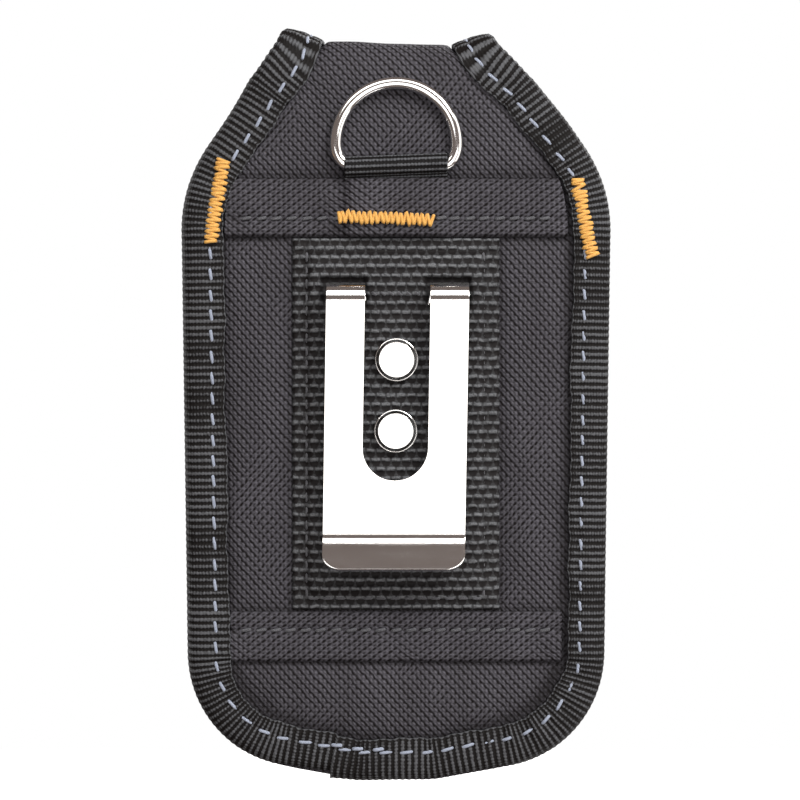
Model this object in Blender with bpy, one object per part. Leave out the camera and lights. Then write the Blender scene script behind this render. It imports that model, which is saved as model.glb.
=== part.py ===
"""Padded belt pouch with a spring steel belt clip, a D-ring and a fold-over flap.

The back panel and the flap are one padded sheet: it rises flat behind the pocket, folds forward over
the pocket mouth and hangs down in front of the pocket. Such a sheet piece is described by its half
width, its height s measured along the outer face, and its depth below that face.
Sizes are in millimetres until a mesh is made. X is right, Y points from the clip side to the front,
Z is up. The object's origin is the belt's seat under the crown of the clip.
"""

import math

import bmesh
import bpy
import numpy as np

MM = 0.001
GAP = 0.3  # clearance between pieces that touch

# Outline of the back panel, bottom edge at height 0
HEIGHT = 178.2
SHOULDER_WIDTH = 104.6
FOOT_TAPER = 4.0  # how much narrower the foot is than the shoulder
FOLD_WIDTH = 57.0
SHOULDER_DROP = 34.9  # from the top of the fold down to the widest point
SHOULDER_RADIUS = 36.0
FOOT_RADIUS = 28.0
FOOT_FLAT = 14.0
FOOT_RISE = 7.4
ARC_STEP = math.radians(10)

# Layers of the padded sheet, from the outer face in
SHELL = 1.0
FOAM = 3.0
LINING = 0.6
FOLD_RADIUS = 8.2
FOLD_SLOPE = math.radians(40)  # the flap leaves the fold this far below the level
FLAP_BEND = 14.0
FLAP_DROP = 50.0
FLAP_CORNER = 14.0

# Edge binding
TAPE = 0.9
BINDING_WIDTH = 10.4
FLAP_BINDING_WIDTH = 8.0

# Pocket
MOUTH_DROP = 32.2  # from the top of the fold down to the pocket mouth
POCKET_DEPTH = 18.2  # between the gusset's two flanges and its lining
GUSSET = 1.4
FRONT_INSET = 1.5
FRONT_BINDING_WIDTH = 8.0
FRONT_FOAM = 2.0
LOOP_TAPE = (50.0, 28.0, 1.3)  # width, height, thickness
HOOK_TAPE = (38.0, 24.0, 1.2)
HOOK_RISE = 12.0  # from the end of the flap up to its hook tape

# Bands, webbing patch and its rivets
BAND = 1.0
UPPER_BAND_HEIGHT = 14.4
LOWER_BAND_RISE = 29.0
LOWER_BAND_HEIGHT = 12.1
PATCH_MARGIN = 8.0  # webbing left on each side of the clip
PATCH = 1.4
PATCH_RIM = 3.5
PATCH_LIFT = 2.6  # from the shell out to the inner face of the raised middle
RIVET_DROPS = (29.4, 46.5)  # from the top of the patch down to each rivet
RIVET_HEAD = 9.6
RIVET_HEAD_HEIGHT = 1.8
RIVET_SHANK = 3.6
BURR_WIDTH = 8.0
BURR = 0.7

# Belt clip
CLIP_WIDTH = 34.0
CLIP = 0.9
CLIP_DROP = 10.9  # from the top of the patch down to the crown
CLIP_BEND = 3.9
CLIP_SLOT = 15.6
CLIP_SLOT_LENGTH = 47.2
CLIP_LEG = 56.0
CLIP_TAPER = math.radians(2.8)
LIP_FLARE = math.radians(38)
LIP_LENGTH = 8.8
LIP_BEND = 2.0
PLATE_LENGTH = 50.0
PLATE_SLOT_LENGTH = 10.0

# D-ring and its webbing
RING_WIDTH = 32.3
RING_WIRE = 3.0
RING_SHOULDER = 5.15  # from the bar up to the start of the half round
RING_LOOP_MARGIN = 0.7  # from the inside of the ring to the edge of its webbing
RING_TAIL_TAPER = 2.5  # how much narrower the sewn tails are than the loop
RING_TAIL_LENGTH = 12.0
RING_WEBBING = 0.8

# Bartacks: width along the tack, width across it, thickness
BARTACK = (20.5, 3.6, 0.6)
CENTRE_BARTACK = (22.0, 3.2, 0.6)

SHEET = SHELL + GAP + FOAM + GAP + LINING
SHELL_DEPTHS = (0.0, SHELL)
FOAM_DEPTHS = (SHELL + GAP, SHELL + GAP + FOAM)
LINING_DEPTHS = (SHEET - LINING, SHEET)
BACK_RISE = HEIGHT - FOLD_RADIUS
FOLD_TOP = BACK_RISE + FOLD_RADIUS * math.pi / 2
SHOULDER_HEIGHT = HEIGHT - SHOULDER_DROP
MOUTH = HEIGHT - MOUTH_DROP

GUSSET_BACK = (SHEET + GAP, SHEET + GAP + GUSSET)
FRONT_LINING = (GUSSET_BACK[0] + POCKET_DEPTH + GUSSET + GAP,)
FRONT_LINING += (FRONT_LINING[0] + LINING,)
GUSSET_FRONT = (FRONT_LINING[0] - GAP - GUSSET, FRONT_LINING[0] - GAP)
FRONT_FOAM_Y = (FRONT_LINING[1] + GAP, FRONT_LINING[1] + GAP + FRONT_FOAM)
FRONT_SHELL = (FRONT_FOAM_Y[1] + GAP, FRONT_FOAM_Y[1] + GAP + SHELL)
LOOP_TAPE_Y = (FRONT_SHELL[1] + GAP, FRONT_SHELL[1] + GAP + LOOP_TAPE[2])
HOOK_TAPE_Y = (LOOP_TAPE_Y[1] + GAP, LOOP_TAPE_Y[1] + GAP + HOOK_TAPE[2])
FLAP_FACE = HOOK_TAPE_Y[1] + GAP + SHEET

FOLD_TURN = math.pi / 2 + FOLD_SLOPE
SLOPE_START = FOLD_RADIUS * (1 - math.cos(FOLD_TURN))
SLOPE_LENGTH = (FLAP_FACE - SLOPE_START - FLAP_BEND * (1 + math.cos(FOLD_TURN))) / math.sin(FOLD_TURN)
SPINE = (
    (BACK_RISE, 0.0),
    (FOLD_RADIUS * FOLD_TURN, FOLD_RADIUS),
    (SLOPE_LENGTH, 0.0),
    (FLAP_BEND * (math.pi - FOLD_TURN), FLAP_BEND),
    (FLAP_DROP, 0.0),
)
FLAP_END = sum(length for length, _ in SPINE)

PATCH_WIDTH = CLIP_WIDTH + 2 * PATCH_MARGIN
PATCH_TOP = MOUTH - UPPER_BAND_HEIGHT - GAP
PATCH_BOTTOM = LOWER_BAND_RISE + LOWER_BAND_HEIGHT + GAP
PATCH_FACE = -PATCH_LIFT - PATCH
CROWN = PATCH_TOP - CLIP_DROP
PLATE_Y = -PATCH_LIFT + GAP + CLIP / 2
BEND_CENTRE = (PLATE_Y - CLIP_BEND, CROWN - CLIP_BEND - CLIP / 2)
RIVET_HEIGHTS = tuple(PATCH_TOP - drop for drop in RIVET_DROPS)
LEG_RUNS = (
    (CLIP_BEND * (math.pi / 2 + CLIP_TAPER), -CLIP_BEND),
    (CLIP_LEG, 0.0),
    (LIP_BEND * (CLIP_TAPER + LIP_FLARE), LIP_BEND),
    (LIP_LENGTH, 0.0),
)
PLATE_RUNS = ((CLIP_BEND * math.pi / 2, CLIP_BEND), (PLATE_LENGTH, 0.0))

RING_RADIUS = (RING_WIDTH - RING_WIRE) / 2
RING_LOOP_WIDTH = RING_WIDTH - 2 * (RING_WIRE + RING_LOOP_MARGIN)
RING_TAIL_WIDTH = RING_LOOP_WIDTH - RING_TAIL_TAPER
RING_CORNER = RING_RADIUS - RING_LOOP_WIDTH / 2 - GAP
RING_LOOP_RADIUS = RING_WIRE / 2 + GAP / 2 + RING_WEBBING
RING_BAR = (-GAP - RING_LOOP_RADIUS, MOUTH + GAP + RING_LOOP_RADIUS)
TAIL = 2 * RING_WEBBING

BELT_SEAT = (0.0, (PATCH_FACE + PLATE_Y - 2 * CLIP_BEND + CLIP / 2) / 2, CROWN - CLIP)
RING_AXIS = (0.0, *RING_BAR)
CLIP_HINGE = (0.0, BEND_CENTRE[0], CROWN + GAP / 2)
FLAP_HINGE = (0.0, FOLD_RADIUS, HEIGHT + GAP + TAPE)


def material(name, colour, roughness, metallic=0.0):
    """A plain material of one colour."""
    made = bpy.data.materials.new(name)
    made.use_nodes = True
    shader = made.node_tree.nodes["Principled BSDF"]
    shader.inputs["Base Color"].default_value = (*colour, 1.0)
    shader.inputs["Roughness"].default_value = roughness
    shader.inputs["Metallic"].default_value = metallic
    return made


def empty(name, place, parent=None):
    """An axis that pieces hang from, at a place in millimetres."""
    made = bpy.data.objects.new(name, None)
    bpy.context.scene.collection.objects.link(made)
    offset = parent["place"] if parent else (0.0, 0.0, 0.0)
    made["place"] = place
    made.location = [(a - b) * MM for a, b in zip(place, offset)]
    made.parent = parent
    return made


def add(name, mesh, finish, parent):
    """Puts a bmesh in millimetres into the scene as an object whose origin is its parent's place."""
    bmesh.ops.recalc_face_normals(mesh, faces=mesh.faces)
    bmesh.ops.translate(mesh, verts=mesh.verts, vec=[-value for value in parent["place"]])
    bmesh.ops.scale(mesh, verts=mesh.verts, vec=(MM, MM, MM))
    data = bpy.data.meshes.new(name)
    mesh.to_mesh(data)
    mesh.free()
    data.shade_smooth()
    data.set_sharp_from_angle(angle=math.radians(35))
    data.materials.append(finish)
    made = bpy.data.objects.new(name, data)
    bpy.context.scene.collection.objects.link(made)
    made.parent = parent
    return made


def add_bevel(piece, width, segments=2):
    """Rounds a piece's edges by a width in millimetres."""
    modifier = piece.modifiers.new("rounded", "BEVEL")
    modifier.width = width * MM
    modifier.segments = segments


def cut(piece, cutter, operation="DIFFERENCE"):
    """Takes a cutter away from a piece, or joins it on."""
    cutter.hide_render = True
    cutter.display_type = "WIRE"
    modifier = piece.modifiers.new(cutter.name, "BOOLEAN")
    modifier.operation = operation
    modifier.object = cutter


def follow(runs, distance, start=(0.0, 0.0), heading=0.0):
    """Place (y, z) and heading at a distance along runs of (length, radius), where radius 0 is straight.

    The heading is the angle from +Z towards +Y, and a positive radius turns it up.
    """
    y, z = start
    for length, radius in runs:
        step = min(distance, length)
        turn = step / radius if radius else 0.0
        if radius:
            y += radius * (math.cos(heading) - math.cos(heading + turn))
            z += radius * (math.sin(heading + turn) - math.sin(heading))
        else:
            y += step * math.sin(heading)
            z += step * math.cos(heading)
        heading += turn
        distance -= step
        if distance <= 0:
            break
    return y, z, heading


def run_stops(runs):
    """Distances along runs at every join, and at even steps of turn inside the arcs."""
    stops = [0.0]
    for length, radius in runs:
        count = max(1, round(abs(length / radius) / ARC_STEP)) if radius else 1
        stops += [stops[-1] + length * (i + 1) / count for i in range(count)]
    return stops


def place_on_sheet(x, s, depth):
    """A point of the padded sheet in space."""
    y, z, heading = follow(SPINE, s)
    return x, y + depth * math.cos(heading), z - depth * math.sin(heading)


def rounded(corners):
    """Points of an open chain whose inner corners (x, z, radius) are turned into arcs."""
    points = [np.array(corners[0][:2])]
    for before, corner, after in zip(corners, corners[1:], corners[2:]):
        here = np.array(corner[:2])
        back = np.array(before[:2]) - here
        on = np.array(after[:2]) - here
        back /= np.linalg.norm(back)
        on /= np.linalg.norm(on)
        half = math.acos(np.clip(back @ on, -1, 1)) / 2
        centre = here + (back + on) / np.linalg.norm(back + on) * corner[2] / math.sin(half)
        turn = math.pi - 2 * half
        reach = corner[2] / math.tan(half)
        first = here + back * reach - centre
        side = math.copysign(1.0, back[0] * on[1] - back[1] * on[0])
        count = max(1, round(turn / ARC_STEP))
        for i in range(count + 1):
            angle = -side * turn * i / count
            cosine, sine = math.cos(angle), math.sin(angle)
            points.append(centre + np.array([[cosine, -sine], [sine, cosine]]) @ first)
    points.append(np.array(corners[-1][:2]))
    return np.array(points)


def sheet_outline():
    """Right half of the sheet's outline (half width, s), from the bottom to the middle of the flap end."""
    return rounded(
        (
            (0.0, 0.0, 0.0),
            (FOOT_FLAT, 0.0, FOOT_RADIUS),
            ((SHOULDER_WIDTH - FOOT_TAPER) / 2, FOOT_RISE, FOOT_RADIUS),
            (SHOULDER_WIDTH / 2, SHOULDER_HEIGHT, SHOULDER_RADIUS),
            (FOLD_WIDTH / 2 + 6.0, BACK_RISE, FOLD_RADIUS),
            (FOLD_WIDTH / 2, FOLD_TOP + 4.0, FOLD_RADIUS),
            (FOLD_WIDTH / 2, FLAP_END, FLAP_CORNER),
            (0.0, FLAP_END, 0.0),
        )
    )


def stretch(low, high):
    """The outline between two heights s as (points, outward normals).

    The normals are level at a cut end and all over the fold, so that each section there is one crease.
    """
    points = sheet_outline()
    steps = np.diff(points, axis=0)
    lengths = np.linalg.norm(steps, axis=1)
    along = np.append(0.0, np.cumsum(lengths))
    steps /= lengths[:, None]
    tangents = np.vstack([steps[:1], steps[:-1] + steps[1:], steps[-1:]])
    rising = points[:, 1] + np.arange(len(points)) * 1e-9
    first = np.interp(low, rising, along) if low > 0 else 0.0
    last = np.interp(high, rising, along) if high < FLAP_END else along[-1]
    stops = np.interp([stop for stop in run_stops(SPINE) if low < stop < high], rising, along)
    inside = along[(along > first) & (along < last)]
    found = np.unique(np.concatenate([[first, last], inside, stops]).round(6))
    places = np.column_stack([np.interp(found, along, column) for column in points.T])
    normals = np.column_stack([np.interp(found, along, column) for column in (tangents[:, 1], -tangents[:, 0])])
    normals /= np.linalg.norm(normals, axis=1)[:, None]
    level = (places[:, 1] >= BACK_RISE) & (places[:, 1] <= FLAP_END - FLAP_DROP)
    level[0] |= low > 0
    level[-1] |= high < FLAP_END
    normals[level] = np.column_stack([1.0 / normals[level, 0], np.zeros(level.sum())])
    keep = places[:, 0] > GAP
    return places[keep], normals[keep]


def lofted(rings, closed=False):
    """A bmesh whose rings of points are joined by faces, with capped ends unless it closes on itself."""
    mesh = bmesh.new()
    loops = [[mesh.verts.new(point) for point in ring] for ring in rings]
    pairs = list(zip(loops, loops[1:]))
    if closed:
        pairs.append((loops[-1], loops[0]))
    for here, there in pairs:
        for i in range(len(here)):
            j = (i + 1) % len(here)
            mesh.faces.new((here[i], here[j], there[j], there[i]))
    if not closed:
        mesh.faces.new(loops[0])
        mesh.faces.new(loops[-1][::-1])
    return mesh


def sheet_layer(inset, low, high, depths):
    """A layer of the sheet between two heights and two depths, inset from the outline."""
    places, normals = stretch(low, high)
    places = places - inset * normals
    rings = []
    for x, s in places:
        corners = ((-x, depths[0]), (x, depths[0]), (x, depths[1]), (-x, depths[1]))
        rings.append([place_on_sheet(across, s, depth) for across, depth in corners])
    return lofted(rings)


def carried(low, high, profile):
    """A profile of (distance out, depth) carried round the whole outline, left and right.

    A depth may be a function of the height s that its point comes to.
    """
    places, normals = stretch(low, high)
    rings = []
    for place, normal in zip(places, normals):
        ring = []
        for out, depth in profile:
            x, s = place + out * normal
            ring.append((x, s, depth(s) if callable(depth) else depth))
        rings.append(ring)
    mirrored = [[(-x, s, depth) for x, s, depth in ring] for ring in rings]
    order = rings[::-1] + mirrored if low <= 0 else mirrored + rings[::-1]
    return lofted([[place_on_sheet(*point) for point in ring] for ring in order])


def c_section(inner, outer, start, width):
    """Binding tape folded round an edge: inner and outer are the depths of its two legs' free faces."""
    return (
        (start, outer),
        (start, inner),
        (start - width, inner),
        (start - width, lambda s: depth_at(inner, s) - TAPE),
        (start - TAPE, lambda s: depth_at(inner, s) - TAPE),
        (start - TAPE, outer + TAPE),
        (start - width, outer + TAPE),
        (start - width, outer),
    )


def depth_at(depth, s):
    return depth(s) if callable(depth) else depth


def flat_plate(points, y_low, y_high):
    """An outline in XZ given a thickness along Y."""
    return lofted([[(x, y, z) for x, z in points] for y in (y_low, y_high)])


def block(x_range, y_range, z_range):
    """A box between three pairs of values."""
    (x0, x1), (z0, z1) = x_range, z_range
    return flat_plate(((x0, z0), (x1, z0), (x1, z1), (x0, z1)), *y_range)


def turned(profile, x, z, count=24):
    """A profile of (radius, y) turned about a line along Y; it closes on itself."""
    rings = []
    for i in range(count):
        angle = 2 * math.pi * i / count
        rings.append([(x + r * math.cos(angle), y, z + r * math.sin(angle)) for r, y in profile])
    mesh = lofted(rings, closed=True)
    bmesh.ops.remove_doubles(mesh, verts=mesh.verts, dist=1e-4)
    return mesh


def strip(runs, start, heading, width, thickness):
    """Flat metal strip bent along runs in the YZ plane."""
    rings = []
    for distance in run_stops(runs):
        y, z, turned_to = follow(runs, distance, start, heading)
        dy, dz = math.cos(turned_to) * thickness / 2, -math.sin(turned_to) * thickness / 2
        rings.append(
            [
                (-width / 2, y - dy, z - dz),
                (width / 2, y - dy, z - dz),
                (width / 2, y + dy, z + dz),
                (-width / 2, y + dy, z + dz),
            ]
        )
    return lofted(rings)


def slot_outline(width, top, bottom):
    """A slot open at the top with a half round end at the bottom."""
    half = width / 2
    arc = [math.pi + i * math.pi / 12 for i in range(13)]
    points = [(half * math.cos(a), bottom + half + half * math.sin(a)) for a in arc]
    return [*points, (half, top), (-half, top)]


def panel_pieces(root, flap, finishes):
    """Shell, foam and lining of the back panel and of the flap."""
    layers = (("shell", SHELL_DEPTHS), ("foam", FOAM_DEPTHS), ("lining", LINING_DEPTHS))
    edge = TAPE + GAP
    for layer, depths in layers:
        back = sheet_layer(edge, 0.0, FOLD_TOP - GAP / 2, depths)
        add("back_panel_" + layer, back, finishes[layer], root)
        front = sheet_layer(edge, FOLD_TOP + GAP / 2, FLAP_END, depths)
        add("flap_" + layer, front, finishes[layer], flap)


def binding_pieces(root, flap, finishes):
    """Edge binding round the back panel, and its further end round the flap."""
    plain = SHEET + GAP + TAPE
    over_gusset = GUSSET_BACK[1] + GAP + TAPE

    def inner(s):
        return float(np.interp(s, (MOUTH + 6.0, MOUTH + 14.0), (over_gusset, plain)))

    outer = -GAP - TAPE
    back = carried(0.0, FOLD_TOP - GAP / 2, c_section(inner, outer, 0.0, BINDING_WIDTH))
    add("edge_binding", back, finishes["tape"], root)
    front = carried(
        FOLD_TOP + GAP / 2, FLAP_END, c_section(plain, outer, 0.0, FLAP_BINDING_WIDTH)
    )
    add("flap_binding", front, finishes["tape"], flap)


def pocket_pieces(root, finishes):
    """Gusset, front panel and their bindings."""
    edge = -TAPE - GAP
    wall = -BINDING_WIDTH - 2 * GAP
    front_edge = edge - FRONT_INSET
    gusset = (
        (edge, GUSSET_BACK[0]),
        (wall - GUSSET, GUSSET_BACK[0]),
        (wall - GUSSET, GUSSET_FRONT[1]),
        (front_edge, GUSSET_FRONT[1]),
        (front_edge, GUSSET_FRONT[0]),
        (wall, GUSSET_FRONT[0]),
        (wall, GUSSET_BACK[1]),
        (edge, GUSSET_BACK[1]),
    )
    add("pocket_gusset", carried(0.0, MOUTH, gusset), finishes["shell"], root)
    layers = (("lining", FRONT_LINING), ("foam", FRONT_FOAM_Y), ("shell", FRONT_SHELL))
    for layer, depths in layers:
        mesh = sheet_layer(-front_edge, 0.0, MOUTH, depths)
        add("pocket_front_" + layer, mesh, finishes[layer], root)
    legs = (FRONT_SHELL[1] + GAP + TAPE, GUSSET_FRONT[0] - GAP - TAPE)
    binding = c_section(legs[0], legs[1], -FRONT_INSET, FRONT_BINDING_WIDTH)
    add("pocket_front_binding", carried(0.0, MOUTH, binding), finishes["tape"], root)
    mouth_binding(root, finishes["tape"])


def mouth_binding(root, finish):
    """Tape folded over the top edge of the pocket front, between the side bindings."""
    half = half_width(MOUTH, BINDING_WIDTH + GUSSET + 4 * GAP + FRONT_INSET)
    back, front = FRONT_LINING[0] - GAP, FRONT_SHELL[1] + GAP
    low, top = MOUTH - FRONT_BINDING_WIDTH, MOUTH + GAP
    section = (
        (back - TAPE, low),
        (back - TAPE, top + TAPE),
        (front + TAPE, top + TAPE),
        (front + TAPE, low),
        (front, low),
        (front, top),
        (back, top),
        (back, low),
    )
    rings = [[(x, y, z) for y, z in section] for x in (-half, half)]
    add("pocket_mouth_binding", lofted(rings), finish, root)


def tape_pieces(root, flap, finish):
    """Hook tape under the flap, and the loop tape that it closes on, centred on it in height."""
    low = follow(SPINE, FLAP_END)[1] + HOOK_RISE
    middle = low + HOOK_TAPE[1] / 2
    for name, size, depths, parent in (
        ("flap_hook_tape", HOOK_TAPE, HOOK_TAPE_Y, flap),
        ("front_loop_tape", LOOP_TAPE, LOOP_TAPE_Y, root),
    ):
        half, rise = size[0] / 2, size[1] / 2
        add(name, block((-half, half), depths, (middle - rise, middle + rise)), finish, parent)


def half_width(z, inset):
    """Half the width at a height of the flat back's outline, inset by a distance square to its edge."""
    places, normals = stretch(0.0, BACK_RISE)
    across, up = (places - inset * normals).T
    return float(np.interp(z, up, across))


def band(name, low, high, root, finish):
    """A flat band across the back, its ends close against the edge binding."""
    inset = BINDING_WIDTH + 2 * GAP
    corners = [(half_width(z, inset), z) for z in (low, high)]
    outline = [(-corners[0][0], low), corners[0], corners[1], (-corners[1][0], high)]
    return add(name, flat_plate(outline, -GAP - BAND, -GAP), finish, root)


def band_pieces(root, finishes):
    """Upper and lower band; the upper one is raised in the middle over the D-ring's webbing."""
    low, high = MOUTH - UPPER_BAND_HEIGHT, MOUTH
    upper = band("upper_band", low, high, root, finishes["shell"])
    tail = RING_TAIL_WIDTH / 2 + GAP
    face = -GAP - TAIL - GAP
    inside = add("tail_room", block((-tail, tail), (face, 1.0), (low + BAND, high + 1.0)),
                 finishes["shell"], root)
    raised = add("raised_middle", block((-tail - BAND, tail + BAND), (face - BAND, -GAP - BAND / 2),
                                        (low, high)), finishes["shell"], root)
    cut(upper, raised, "UNION")
    cut(upper, inside)
    band("lower_band", LOWER_BAND_RISE, LOWER_BAND_RISE + LOWER_BAND_HEIGHT, root, finishes["shell"])


def webbing_patch(root, finish):
    """Heavy webbing stitched down round its rim and raised in the middle over the clip's plate."""
    half = PATCH_WIDTH / 2
    rim = half - PATCH_RIM
    low, high = PATCH_BOTTOM, PATCH_TOP
    patch = add("clip_webbing", block((-half, half), (-GAP - PATCH, -GAP), (low, high)), finish, root)
    outer = block((-rim, rim), (PATCH_FACE, -GAP - PATCH / 2), (low + PATCH_RIM, high - PATCH_RIM))
    cut(patch, add("patch_raised", outer, finish, root), "UNION")
    inner = rim - PATCH
    room = block((-inner, inner), (-PATCH_LIFT, 1.0), (low + PATCH_RIM + PATCH, high - PATCH_RIM - PATCH))
    cut(patch, add("plate_room", room, finish, root))
    prong = ((CLIP_SLOT / 2 - GAP, CLIP_WIDTH / 2 + 2 * GAP), (CROWN - CLIP_BEND, CROWN + GAP))
    for side, name in ((1, "slit_right"), (-1, "slit_left")):
        across = tuple(sorted(side * value for value in prong[0]))
        slit = block(across, (PATCH_FACE - 1.0, -PATCH_LIFT + 1.0), prong[1])
        cut(patch, add(name, slit, finish, root))
    for i, z in enumerate(RIVET_HEIGHTS):
        cut(patch, rivet_hole(f"patch_hole_{i}", z, root, finish))


def rivet_hole(name, z, root, finish):
    """A cutter for a hole that a rivet's shank goes through."""
    radius = RIVET_SHANK / 2 + GAP
    profile = ((0.0, PATCH_FACE - 1.0), (radius, PATCH_FACE - 1.0), (radius, 0.0), (0.0, 0.0))
    return add(name, turned(profile, 0.0, z), finish, root)


def clip_pieces(root, leg_parent, finish):
    """The clip's hidden plate and its sprung outer leg, parted at the crown."""
    crown = (BEND_CENTRE[0], BEND_CENTRE[1] + CLIP_BEND)
    middle = GAP / 2
    plate = strip(PLATE_RUNS, (crown[0] + middle, crown[1]), math.pi / 2, CLIP_WIDTH, CLIP)
    plate = add("clip_back_plate", plate, finish, root)
    slot = flat_plate(
        slot_outline(CLIP_SLOT, CROWN + 1.0, CROWN - PLATE_SLOT_LENGTH), crown[0], PLATE_Y + CLIP
    )
    cut(plate, add("plate_slot", slot, finish, root))
    for i, z in enumerate(RIVET_HEIGHTS):
        cut(plate, rivet_hole(f"plate_hole_{i}", z, root, finish))
    leg = strip(LEG_RUNS, (crown[0] - middle, crown[1]), -math.pi / 2, CLIP_WIDTH, CLIP)
    leg = add("clip_spring_leg", leg, finish, leg_parent)
    slot = flat_plate(
        slot_outline(CLIP_SLOT, CROWN + 1.0, CROWN - CLIP_SLOT_LENGTH),
        crown[0] - 2 * CLIP_BEND,
        crown[0] + 1.0,
    )
    cut(leg, add("leg_slot", slot, finish, leg_parent))


def rivet_pieces(root, finish):
    """Two domed rivets through webbing and plate, each with a burr behind the plate."""
    radius, shank = RIVET_HEAD / 2, RIVET_SHANK / 2
    under = PATCH_FACE - GAP
    back = PLATE_Y + CLIP / 2 + GAP
    chamfer = RIVET_HEAD_HEIGHT / 3
    rivet = (
        (0.0, under - RIVET_HEAD_HEIGHT),
        (radius - chamfer, under - RIVET_HEAD_HEIGHT),
        (radius, under - RIVET_HEAD_HEIGHT + chamfer),
        (radius, under),
        (shank, under),
        (shank, back + BURR),
        (0.0, back + BURR),
    )
    hole = shank + GAP
    burr = ((hole, back), (BURR_WIDTH / 2, back), (BURR_WIDTH / 2, back + BURR), (hole, back + BURR))
    for side, z in zip(("upper", "lower"), RIVET_HEIGHTS):
        add("rivet_" + side, turned(rivet, 0.0, z), finish, root)
        add(f"rivet_{side}_burr", turned(burr, 0.0, z), finish, root)


def ring_path():
    """The D-ring's centre line (x, z) above its bar: bar, rounded corner, half round and back."""
    corner = [
        (
            RING_RADIUS - RING_CORNER * (1 - math.sin(a)),
            RING_SHOULDER * (1 - math.cos(a)),
        )
        for a in np.linspace(0, math.pi / 2, 5)
    ]
    top = [
        (RING_RADIUS * math.cos(a), RING_SHOULDER + RING_RADIUS * math.sin(a))
        for a in np.linspace(0, math.pi, 17)
    ]
    return corner[:-1] + top + [(-x, z) for x, z in corner[:-1][::-1]]


def d_ring(parent, finish):
    """Bent wire ring, a closed curve with a round section, standing up from its bar."""
    curve = bpy.data.curves.new("d_ring", "CURVE")
    curve.dimensions = "3D"
    curve.bevel_depth = RING_WIRE / 2 * MM
    curve.bevel_resolution = 3
    path = ring_path()
    spline = curve.splines.new("POLY")
    spline.points.add(len(path) - 1)
    for point, (x, z) in zip(spline.points, path):
        point.co = (x * MM, 0.0, z * MM, 1.0)
    spline.use_cyclic_u = True
    curve.materials.append(finish)
    made = bpy.data.objects.new("d_ring", curve)
    bpy.context.scene.collection.objects.link(made)
    made.parent = parent


def ring_webbing(root, finish):
    """Webbing folded round the D-ring's bar, its two tails sewn under the upper band."""
    y, z = RING_BAR
    half = RING_LOOP_WIDTH / 2
    inner = RING_LOOP_RADIUS - RING_WEBBING
    rings = []
    for angle in np.linspace(0, 2 * math.pi, 24, endpoint=False):
        cosine, sine = math.cos(angle), math.sin(angle)
        section = ((-half, inner), (half, inner), (half, RING_LOOP_RADIUS), (-half, RING_LOOP_RADIUS))
        rings.append([(x, y + r * cosine, z + r * sine) for x, r in section])
    webbing = add("d_ring_webbing", lofted(rings, closed=True), finish, root)
    width = RING_TAIL_WIDTH / 2
    tail = block((-width, width), (-GAP - TAIL, -GAP), (MOUTH - RING_TAIL_LENGTH, z - inner))
    tail = add("webbing_tail", tail, finish, root)
    cut(webbing, tail, "UNION")
    bar_room = ((0.0, -half - 1), (inner, -half - 1), (inner, half + 1), (0.0, half + 1))
    rings = []
    for angle in np.linspace(0, 2 * math.pi, 24, endpoint=False):
        cosine, sine = math.cos(angle), math.sin(angle)
        rings.append([(x, y + r * cosine, z + r * sine) for r, x in bar_room])
    room = lofted(rings, closed=True)
    bmesh.ops.remove_doubles(room, verts=room.verts, dist=1e-4)
    cut(webbing, add("bar_room", room, finish, root))


def bartack(name, size, centre, tilt, root, finish):
    """A dense bar of stitches, a low rounded bar tilted in the plane of the panel."""
    length, width, thickness = size
    x, y, z = centre
    corners = ((-width / 2, -length / 2), (width / 2, -length / 2), (width / 2, length / 2),
               (-width / 2, length / 2))
    cosine, sine = math.cos(tilt), math.sin(tilt)
    outline = [(x + u * cosine + v * sine, z - u * sine + v * cosine) for u, v in corners]
    piece = add(name, flat_plate(outline, y - thickness, y), finish, root)
    add_bevel(piece, thickness / 3)


def bartacks(root, finish):
    """One on each corner of the pocket mouth and one across the upper band."""
    on_binding = -2 * GAP - TAPE
    z = MOUTH - BARTACK[0] / 4
    edge = half_width(z, BINDING_WIDTH * 0.73)
    bartack("bartack_left", BARTACK, (-edge, on_binding, z - 1.0), math.radians(9), root, finish)
    bartack("bartack_right", BARTACK, (edge, on_binding, z - 5.0), math.radians(-11), root, finish)
    raised = -GAP - TAIL - GAP - BAND - GAP
    height = MOUTH - UPPER_BAND_HEIGHT * 0.7
    bartack("bartack_centre", CENTRE_BARTACK, (-1.6, raised, height), math.radians(90), root, finish)


def main():
    for thing in list(bpy.data.objects):
        bpy.data.objects.remove(thing)
    finishes = {
        "shell": material("ballistic fabric", (0.030, 0.029, 0.031), 0.85),
        "foam": material("foam", (0.10, 0.10, 0.11), 0.9),
        "lining": material("lining", (0.02, 0.02, 0.022), 0.8),
        "tape": material("binding tape", (0.028, 0.029, 0.032), 0.8),
        "loop": material("loop tape", (0.02, 0.02, 0.021), 0.95),
        "webbing": material("webbing", (0.022, 0.022, 0.023), 0.75),
        "thread": material("orange thread", (0.90, 0.42, 0.05), 0.6),
        "steel": material("nickel plated steel", (0.78, 0.76, 0.73), 0.12, 1.0),
    }
    root = empty("pouch", BELT_SEAT)
    root.location = (0.0, 0.0, 0.0)
    flap = empty("flap_hinge", FLAP_HINGE, root)
    leg = empty("clip_hinge", CLIP_HINGE, root)
    ring = empty("ring_axis", RING_AXIS, root)
    panel_pieces(root, flap, finishes)
    binding_pieces(root, flap, finishes)
    pocket_pieces(root, finishes)
    tape_pieces(root, flap, finishes["loop"])
    band_pieces(root, finishes)
    webbing_patch(root, finishes["webbing"])
    clip_pieces(root, leg, finishes["steel"])
    rivet_pieces(root, finishes["steel"])
    d_ring(ring, finishes["steel"])
    ring_webbing(root, finishes["webbing"])
    bartacks(root, finishes["thread"])


main()
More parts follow.
